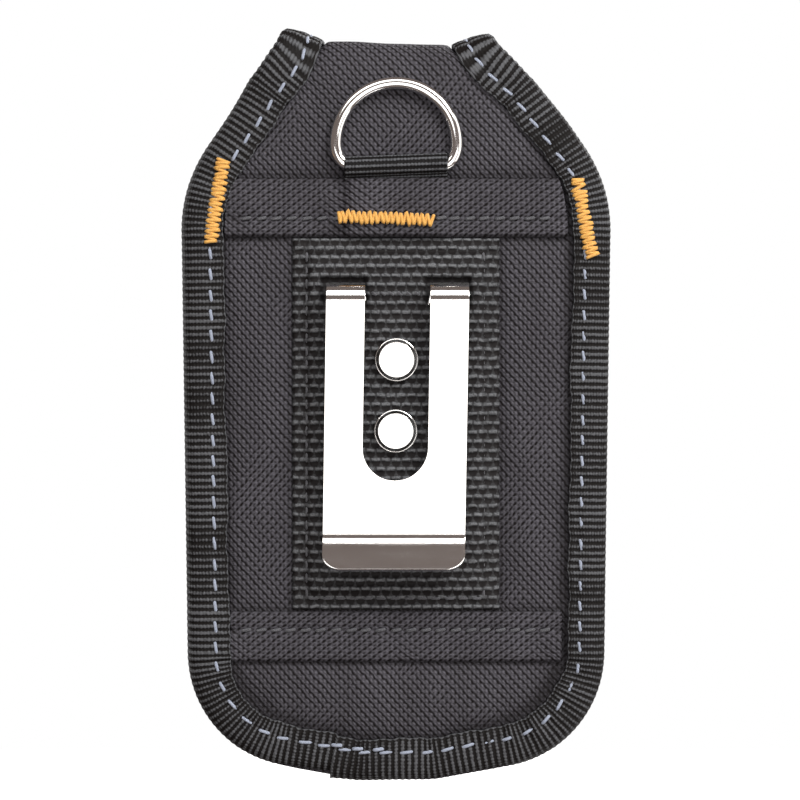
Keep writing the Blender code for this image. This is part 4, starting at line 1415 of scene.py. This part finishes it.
@dataclass
class BeltClip:
    """One strip of spring steel: hidden plate, crown bend, slotted leg and flared lip."""

    thickness: float = 0.9
    bend: float = 3.9
    leg: float = 55.3
    taper: float = math.radians(2.8)
    flare: float = math.radians(38)
    lip: float = 7.5
    lip_bend: float = 4.0
    plate: float = 50.0
    slot: float = 7.8
    plate_slot: float = 10.0
    leg_slot: float = 47.2
    corner: float = 4.2
    tilt: float = math.radians(0.9)

    def stops(self, marks: Sequence[float], total: float) -> Array:
        """Distances along the strip: even steps, and close ones round the slot's ends and the lip."""
        theta = np.linspace(0, math.pi / 2, 14)
        parts = [np.linspace(0, total, 120)]
        parts += [mark + sign * self.slot * (1 - np.cos(theta)) for mark, sign in marks]
        parts.append(total - self.corner * (1 - np.cos(theta)))
        bend = self.plate + np.linspace(0, self.bend * (math.pi + self.taper), 30)
        found = np.sort(np.concatenate([*parts, bend]))
        return found[np.append(True, np.diff(found) > 0.03)]

    def half(self, side: int) -> Surface:
        """Half of the strip on one side of its middle line.

        Across, it runs from the slot's edge (the root of radius squared less distance squared near
        each round end) to the outer edge, which is rounded off at the lip.
        """
        crown = DATUM.box("clip_spring_leg")[1][2] - self.thickness / 2
        bend = self.bend * (math.pi + self.taper)
        runs = ((self.plate, 0.0), (bend, -self.bend), (self.leg, 0.0),
                (self.lip_bend * (self.taper + self.flare), self.lip_bend), (self.lip, 0.0))
        total = sum(length for length, _ in runs)
        first = self.plate - (self.plate_slot - self.bend - self.thickness / 2)
        last = self.plate + bend + (self.leg_slot - self.bend - self.thickness / 2)
        t = self.stops(((first, 1), (last, -1)), total)
        inside = np.clip(np.minimum(t - first, last - t), 0.0, self.slot)
        edge = np.sqrt(np.maximum(self.slot**2 - (self.slot - inside) ** 2, 0.0))
        half = DATUM.box("clip_spring_leg")[1][0]
        left = np.clip(np.minimum(total - t, t), 0.0, self.corner)
        outer = half - self.corner + np.sqrt(np.maximum(self.corner**2 - (self.corner - left) ** 2, 0.0))
        y0 = DATUM.box("clip_back_plate")[1][1] - self.thickness / 2 - 0.15
        y, z, _ = follow(runs, t, (y0, crown - self.bend - self.plate))
        share = np.array([0.0, 0.03, 0.15, 0.35, 0.5, 0.65, 0.85, 0.97, 1.0])[:, None]
        x = side * (edge + (outer - edge) * share)
        x = x + (z - crown + 30.0) * math.sin(self.tilt)
        points = np.stack(np.broadcast_arrays(x, y[None], z[None]), axis=-1)
        uv = np.stack(np.broadcast_arrays(x, t[None]), axis=-1)
        return Surface(points, uv)

    def build(self, finishes: Finishes) -> None:
        """Joins both halves, gives the strip its thickness and softens its cut edges."""
        halves = [self.half(side) for side in (1, -1)]
        piece = mesh_of("belt_clip", halves, finishes.steel, weld=0.004)
        wall = piece.modifiers.new("thickness", "SOLIDIFY")
        wall.thickness, wall.offset = self.thickness * MM, 0.0
        edge = piece.modifiers.new("soft edge", "BEVEL")
        edge.width, edge.segments, edge.limit_method = 0.17 * MM, 2, "ANGLE"
        edge.angle_limit = math.radians(50)
        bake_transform(piece)
        claim(piece, "over the crown", ("clip_spring_leg", "clip_back_plate"))


@dataclass
class Rivets:
    """Two domed rivets with a bevelled rim, and their burrs behind the plate."""

    rim: float = 1.0
    edge: float = 0.28
    dome: float = 0.12
    spread: float = 0.4

    def profile(self, low: Array, high: Array) -> Array:
        """Radius and depth from the middle of the head, over its rim and down the shank."""
        radius, top = (high[0] - low[0]) / 2 + self.spread, low[1]
        flat = np.append(np.linspace(0.001, radius - self.rim - 0.05, 8), radius - self.rim)
        face = np.stack([flat, top + self.dome * (flat / radius) ** 2], 1)
        turn = np.linspace(0, math.pi / 2, 7)
        rim = np.stack([radius - self.edge * (1 - np.sin(turn)),
                        top + 0.95 + self.edge * (1 - np.cos(turn))], 1)
        share = np.array([[0.05], [0.5], [0.95]])
        rim = np.vstack([face[-1] + (rim[0] - face[-1]) * share, rim])
        shank = [(radius, top + 1.8), (radius - 0.2, top + 2.0), (1.8, top + 2.0), (1.8, high[1]),
                 (0.001, high[1])]
        return np.vstack([face, rim, shank])

    def build(self, finishes: Finishes) -> None:
        """Turns both rivets; the burrs keep their own shape."""
        for place in ("upper", "lower"):
            low, high = DATUM.box("rivet_" + place)
            z = (low[2] + high[2]) / 2
            head = turned(self.profile(low, high), (z - 90.0) * 0.012, z)
            piece = mesh_of(f"rivet_{place}_head", [head], finishes.steel, weld=0.003)
            on_pouch(piece, "nickel_steel", "rivet_" + place)
            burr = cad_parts[f"rivet_{place}_burr"]
            burr.data.materials.clear()
            burr.data.materials.append(finishes.steel)


@dataclass
class DRing:
    """Wire D-ring and the ribbed webbing that holds it."""

    wire: float = 3.0
    shoulder: float = 5.15
    corner: float = 3.4
    tape: float = 0.8
    rib: float = 1.2
    tilt: float = math.radians(0.8)
    slope: float = math.radians(2.2)
    wrap: tuple[float, float] = (math.radians(-98), math.radians(215))

    def path(self) -> Array:
        """Centre line: straight bar, rounded corners, shoulders and a half circle over the top."""
        low, high = DATUM.box("d_ring")
        radius = (high[0] - low[0] - self.wire) / 2
        z, y = low[2] + self.wire / 2, (low[1] + high[1]) / 2
        turn = np.linspace(0, math.pi / 2, 14)
        arc = np.linspace(0, math.pi, 60)[1:-1]
        corner = np.stack([radius - self.corner * (1 - np.sin(turn)),
                           self.shoulder * (1 - np.cos(turn))], 1)
        top = np.stack([radius * np.cos(arc), self.shoulder + radius * np.sin(arc)], 1)
        bar = np.linspace(-radius + self.corner, radius - self.corner, 14)[1:-1]
        x, up = np.vstack([corner, top, corner[::-1] * (-1, 1), np.stack([bar, 0 * bar], 1)]).T
        x = x + up * math.sin(self.tilt)
        return np.stack([x, y + 0 * x, z + up - x * math.sin(self.tilt)], axis=1)

    def build(self, finishes: Finishes) -> None:
        """Bends the ring and folds its webbing round the bar."""
        grid = tube(self.path(), self.wire / 2, 20, np.array([0.0, 1.0, 0.0]), closed=True)
        on_body(mesh_of("d_ring_wire", [grid], finishes.steel), "ring", "nickel_steel", "d_ring")
        ring_low, ring_high = DATUM.box("d_ring")
        low, high = DATUM.box("d_ring_webbing")
        radius = (high[2] - ring_low[2] - self.wire / 2) - self.tape / 2
        y, z = (ring_low[1] + ring_high[1]) / 2, high[2] - self.tape / 2 - radius
        front, back = -GAP - 1.5 * self.tape - 0.1, -GAP - 0.5 * self.tape
        turn = np.linspace(*self.wrap, 60)
        loop = np.stack([y - radius * np.cos(turn), z + radius * np.sin(turn)], 1)
        line = rounded(((front, low[2] + 0.5, 0.0), (front, low[2] + 11.6, 0.7), (*loop[2], 0.0)))
        tail = rounded(((*loop[-3], 0.0), (back, low[2] + 8.0, 3.0), (back, low[2] + 0.5, 0.0)))
        line = resample(np.vstack([line[:-1], loop[2:-2], tail[1:]]), 170)
        tangent = np.gradient(line, axis=0)
        tangent /= np.linalg.norm(tangent, axis=1)[:, None]
        along = np.linspace(0, length_of(line), len(line))

        def place(t: Array, x: Array, depth: Array) -> Array:
            y, z, dy, dz = (np.interp(t, along, part) for part in (*line.T, *tangent.T))
            return np.stack([x, y + depth * dz, z - depth * dy + x * math.sin(self.slope)], axis=-1)

        x = eased(64, low[0], high[0], 0.5)[None]
        t = along[:, None]
        rib = 0.5 + 0.5 * np.cos(2 * math.pi * t / self.rib)
        side = bullnose(np.minimum(x - low[0], high[0] - x), 0.5)
        top = -(self.tape / 2) * side - 0.16 * rib * side
        # Painted shade: the webbing's colour is darker in its rib valleys and towards its rounded sides.
        body = slab(t, x, top, self.tape / 2 * side, place, relief_and_shade=rib * (0.6 + 0.4 * side))
        body.uv = body.uv[..., ::-1]
        on_pouch(mesh_of("ring_webbing_loop", [body], finishes.ring_webbing), "webbing",
                 "d_ring_webbing")


@dataclass
class Bartack:
    """A dense bar of orange thread: a zigzag that swells over its own first rows."""

    node: str
    middle: tuple[float, float]
    length: float
    width: float
    turn: float
    depth: float
    pitch: float = 1.28
    thread: float = 0.43
    uneven: float = 0.14
    seed: int = 0

    def build(self, finishes: Finishes) -> None:
        """Zigzag: the place across is a triangle wave, the place along grows evenly."""
        rng = np.random.default_rng(SEED + 20 + self.seed)
        turns = round(self.length / self.pitch)
        corners = np.arange(2 * turns + 1)
        along = (corners / corners[-1] - 0.5) * self.length + rng.normal(0, self.uneven, len(corners))
        across = self.width / 2 * np.where(corners % 2, 1.0, -1.0) * rng.uniform(0.8, 1.08, len(corners))
        fine = np.linspace(0, corners[-1], len(corners) * 9)
        u, v = np.interp(fine, corners, along), np.interp(fine, corners, across)
        ends = np.clip(1.0 - np.abs(2 * (fine % 1.0) - 1.0), 0, 1)
        lift = 0.2 + 0.5 * bullnose(ends, 0.8) + 0.1 * np.sin(fine * math.pi)
        cosine, sine = math.cos(self.turn), math.sin(self.turn)
        x = self.middle[0] + u * sine + v * cosine
        z = self.middle[1] + u * cosine - v * sine
        path = np.stack([x, self.depth - lift, z], axis=1)
        radius = np.full(len(path), self.thread)
        radius[[0, -1]] = 0.001
        grid = tube(path, radius, 7, np.array([0.0, 1.0, 0.0]))
        under = stitches(np.array([[self.middle[0], self.depth + 0.1, self.middle[1]]]),
                         np.array([[sine, 0.0, cosine]]), np.array([[0.0, -1.0, 0.0]]),
                         self.length - 0.8, self.width * 0.55, 0.1, 12)
        piece = mesh_of(self.node + "_thread", [grid, under], finishes.orange, weld=0.001)
        on_pouch(piece, "orange_thread", self.node)


@dataclass
class Pocket:
    """The pocket on the front: gusset, padded front, linings, bindings and loop tape."""

    inset: float = 1.5
    edge: float = 1.2
    wall: float = 11.7
    wall_half: float = 0.6
    puff: float = 1.8
    tape: RibbedTape = field(default_factory=lambda: RibbedTape(width=8.0, stitch=5.4, seed=31))
    mouth_width: float = 8.6
    pitch: float = 4.8

    def build(self, finishes: Finishes) -> None:
        """Makes every piece of the pocket."""
        mouth = DATUM.box("pocket_gusset")[1][2]
        self.gusset(finishes, mouth)
        self.front(finishes, mouth)
        self.bindings(finishes, mouth)
        self.closure("front_loop_tape", "loop_tape_pile", 1.0, "pouch", finishes.loop)
        self.closure("flap_hook_tape", "hook_tape_pile", -1.0, "flap", finishes.hook)

    def gusset(self, finishes: Finishes, mouth: float) -> None:
        """The wall round the pocket: its section has a flange at each end and a soft bow between."""
        low, high = DATUM.box("pocket_gusset")
        back, front = low[1] + 0.7, high[1] - 0.7
        chain = rounded(((-self.edge, back, 0.0), (-self.wall, back, 1.2), (-self.wall, front, 1.2),
                         (-self.edge - self.inset, front, 0.0)))
        chain = resample(chain, 46)
        across = np.gradient(chain, axis=0)
        across /= np.linalg.norm(across, axis=1)[:, None]
        route = Route.round_foot(mouth, 360)
        bow = np.clip((chain[:, 1] - back) * (front - chain[:, 1]), 0, None)
        bow = 1.5 * (bow / bow.max())[:, None] * (chain[:, :1] < -self.wall + 1.3)
        wave = 0.25 * ripple(route.along[None], chain[:, 1:], 15.0, 41) * bow
        sink = 1.2 * (hump(route.points[:, 0], -20.0, 8.0) * (route.points[:, 1] < 14.0))[None]
        rings = []
        for side in (1.0, -1.0):
            out = chain[:, :1] + bow + wave - sink + side * self.wall_half * across[:, 1:]
            depth = chain[:, 1:] - side * self.wall_half * across[:, :1] + 0 * out
            x, s = (route.points[:, k][None] + out * route.outward[:, k][None] for k in (0, 1))
            rings.append(SHEET.place(x, s, depth)[:: int(side)])
        points = np.concatenate(rings)
        length = np.append(0.0, np.cumsum(np.linalg.norm(np.diff(chain, axis=0), axis=1)))
        uv = np.stack(np.meshgrid(np.concatenate([length, length[::-1], length[:1]]), route.along,
                                  indexing="ij"), axis=-1)
        wall = Surface(points, uv, closed_u=True, capped=True)
        piece = mesh_of("gusset_wall", [wall], finishes.cloth)
        on_pouch(piece, "ballistic_fabric", "pocket_gusset")

    def front(self, finishes: Finishes, mouth: float) -> None:
        """The padded front panel, crowned between its bindings, and its lining."""
        low, high = DATUM.box("pocket_front_foam")[0][1], DATUM.box("pocket_front_shell")[1][1]
        s = eased(130, 1.6 + self.inset, mouth - 0.5, 0.3)[None]
        half = SHEET.half_width(s - self.inset) - self.inset - self.edge
        x = eased(90, -1.0, 1.0)[:, None] * half
        edge = np.minimum(SHEET.from_edge(x, s) - self.inset, mouth - s)
        free = np.maximum(edge - self.tape.width, 0.0)
        tape = DATUM.box("front_loop_tape")
        over = np.hypot(np.maximum(np.abs(x) - tape[1][0], 0),
                        np.maximum(np.abs(s - (tape[0][2] + tape[1][2]) / 2) - 14.0, 0))
        rise = self.puff * (1 - np.exp(-free / 6)) * (1 - np.exp(-over / 4))
        rise = rise * (0.25 + 0.75 * smooth((90.0 - s) / 20))
        rise = rise + 0.15 * ripple(x, s, 15.0, 23) * (rise > 0.05)
        pad = mesh_of("pocket_front_pad", [slab(x, s, high + rise, low, SHEET.place)], finishes.cloth)
        on_pouch(pad, "ballistic_fabric", "pocket_front_shell", "pocket_front_foam")
        near, far = (corner[1] for corner in DATUM.box("pocket_front_lining"))
        x, s = x[::2, ::2], s[:, ::2]
        inner = mesh_of("pocket_front_lining_sheet", [slab(x, s, near + 0 * x * s, far, SHEET.place)],
                        finishes.lining)
        on_pouch(inner, "lining", "pocket_front_lining")

    def bindings(self, finishes: Finishes, mouth: float) -> None:
        """Tape round the front's sides and foot, tape over its mouth, and the seams in both."""
        low, high = DATUM.box("pocket_front_binding")
        length = length_of(Route.round_foot(mouth, 2000).points)
        route = Route.round_foot(mouth, self.tape.count(length) + 1, self.inset)
        ones = np.ones(len(route.along))
        grid = self.tape.carry(route, self.tape.width * ones, high[1] * ones, low[1] * ones,
                               0.05 + 0.25 * hump(route.points[:, 1], 14.0, 13.0))
        on_pouch(mesh_of("pocket_side_binding_tape", [grid], finishes.tape), "binding_tape",
                 "pocket_front_binding")
        line = route.points - self.tape.stitch * route.outward
        depth = (high[1] + 0.2) * ones
        surfaces = [self.front_seam(*line.T, depth)]
        low, high = DATUM.box("pocket_mouth_binding")
        route = Route.level(low[0], high[0], high[2], self.tape.count(high[0] - low[0]) + 1)
        ones = np.ones(len(route.along))
        face = self.tape.carry(route, self.mouth_width * ones, high[1] * ones, low[1] * ones, 0.06 * ones)
        on_pouch(mesh_of("pocket_mouth_binding_tape", [face], finishes.tape), "binding_tape",
                 "pocket_mouth_binding")
        x = np.linspace(low[0] + 1, high[0] - 1, 160)
        surfaces.append(self.front_seam(x, 0 * x + high[2] - 6.2, 0 * x + high[1] + 0.2))
        on_pouch(mesh_of("pocket_seam", surfaces, finishes.grey_blue, weld=0.001), "binding_tape")

    def front_seam(self, x: Array, s: Array, depth: Array) -> Surface:
        """A grey blue seam on a face that looks to the front."""
        made = seam(x, s, depth, self.pitch, 3.4, slant=math.radians(5))
        made.points[..., 1] = depth[0] + depth[-1] - made.points[..., 1]
        return made

    def closure(self, node: str, name: str, way: float, body: str, finish: bpy.types.Material) -> None:
        """One half of the closure: a rounded slab with a low uneven pile, sunk along its seam."""
        low, high = DATUM.box(node)
        x = eased(110, low[0], high[0], 0.5)[:, None]
        s = eased(70, low[2], high[2], 0.5)[None]
        side = np.minimum(np.minimum(x - low[0], high[0] - x), np.minimum(s - low[2], high[2] - s))
        seat, face = (low[1], high[1]) if way > 0 else (high[1], low[1])
        rise = (face - seat) * (0.3 + 0.7 * bullnose(side, 1.0))
        rise = rise + way * (0.1 * ripple(x, s, 2.2, 51) - 0.3 * hump(side, 2.4, 0.6))

        def place(x: Array, s: Array, depth: Array) -> Array:
            return np.stack([x, depth, s], axis=-1)

        piece = mesh_of(name, [slab(x, s, seat + rise, seat + 0 * rise, place)], finish)
        on_body(piece, body, "hook_and_loop", node)


@dataclass
class Studio:
    """Pale ground, soft lamps and the camera."""

    view_height: float = 92.25
    view_side: float = 0.97
    lens: float = 100.0
    sensor: float = 36.0
    field_width: float = 193.2
    ground_drop: float = 0.30
    ground_half: float = 1.2
    room: tuple[float, float, float] = (0.165, 0.135, 0.125)
    aim: tuple[float, float, float] = (0.0, 0.0, -0.03)

    def camera(self) -> None:
        """Camera square to the back, at the distance where its frame is one field wide."""
        data = bpy.data.cameras.new("camera")
        data.lens, data.sensor_width = self.lens, self.sensor
        data.clip_start, data.clip_end = 0.05, 50.0
        camera = bpy.data.objects.new("camera", data)
        distance = self.field_width * self.lens / self.sensor
        place = np.array([self.view_side, -1.2 - distance, self.view_height])
        camera.location = DATUM.to_frame(place)
        camera.rotation_euler = (math.pi / 2, 0.0, 0.0)
        bpy.context.scene.collection.objects.link(camera)
        bpy.context.scene.camera = camera

    def lamp(self, name: str, place: tuple[float, float, float], size: tuple[float, float],
             power: float) -> None:
        """A soft rectangular lamp that looks at the pouch."""
        data = bpy.data.lights.new(name, "AREA")
        data.shape, data.size, data.size_y = "RECTANGLE", *size
        data.energy = power
        lamp = bpy.data.objects.new(name, data)
        lamp.location = place
        sight = Vector(self.aim) - Vector(place)
        lamp.rotation_euler = sight.to_track_quat("-Z", "Y").to_euler()
        bpy.context.scene.collection.objects.link(lamp)

    def ground(self) -> None:
        """A pale ground below the hanging pouch, which fades to white towards its edge."""
        data = bpy.data.meshes.new("ground")
        half, low = self.ground_half, -self.ground_drop
        corners = [(-half, -half, low), (half, -half, low), (half, half, low), (-half, half, low)]
        data.from_pydata(corners, [], [(0, 1, 2, 3)])
        data.materials.append(PaleGround().build())
        ground = bpy.data.objects.new("ground", data)
        ground.visible_diffuse = ground.visible_glossy = False
        bpy.context.scene.collection.objects.link(ground)

    def build(self) -> None:
        """Sets the whole studio."""
        scene = bpy.context.scene
        scene.view_settings.view_transform = "Standard"
        world = bpy.data.worlds.new("studio")
        world.use_nodes = True
        back = world.node_tree.nodes["Background"]
        back.inputs["Color"].default_value = (1.0, 1.0, 1.0, 1.0)
        room = world.node_tree.nodes.new("ShaderNodeBackground")
        room.inputs["Color"].default_value = (*self.room, 1.0)
        seen = world.node_tree.nodes.new("ShaderNodeLightPath")
        mix = world.node_tree.nodes.new("ShaderNodeMixShader")
        links = world.node_tree.links
        links.new(seen.outputs["Is Camera Ray"], mix.inputs[0])
        links.new(room.outputs[0], mix.inputs[1])
        links.new(back.outputs[0], mix.inputs[2])
        links.new(mix.outputs[0], world.node_tree.nodes["World Output"].inputs[0])
        scene.world = world
        self.camera()
        self.ground()
        self.lamp("front", (0.03, -1.0, -0.32), (1.5, 0.88), 8.4)
        self.lamp("high", (0.03, -0.58, 0.66), (1.5, 0.48), 5.6)
        self.lamp("sill", (0.22, 0.14, -0.50), (0.7, 0.4), 1.4)
        self.lamp("right_wall", (1.0, -0.25, 0.05), (1.0, 1.2), 5.0)
        self.lamp("key", (0.50, -0.75, 0.60), (0.35, 0.35), 6.0)
        self.lamp("back", (0.45, 0.85, 0.55), (0.7, 0.7), 9.0)
        self.lamp("back_fill", (-0.75, 0.55, 0.15), (0.6, 0.6), 4.0)


def main() -> None:
    """Builds every sub-assembly round the frame."""
    logging.basicConfig(level=logging.INFO, format="%(message)s", stream=sys.stdout)
    Studio().build()
    finishes = Finishes()
    PaddedBack().build(finishes)
    EdgeBinding().build(finishes)
    CrossBand("upper_band", "upper_band_cloth", 4.5, raised=1.9).build(finishes)
    CrossBand("lower_band", "lower_band_cloth", 7.7, crease_and_edge_shade=0.25).build(finishes)
    WebbingPatch().build(finishes)
    BeltClip().build(finishes)
    Rivets().build(finishes)
    DRing().build(finishes)
    Bartack("bartack_left", (-43.2, 140.3), 20.4, 3.4, math.radians(9), -1.5, seed=1).build(finishes)
    Bartack("bartack_right", (45.5, 136.2), 19.2, 3.5, math.radians(-11), -1.5, seed=2).build(finishes)
    Bartack("bartack_centre", (-2.6, 136.0), 23.0, 3.0, math.radians(92), -3.35, seed=3).build(finishes)
    Pocket().build(finishes)


if __name__ == "__main__":
    main()
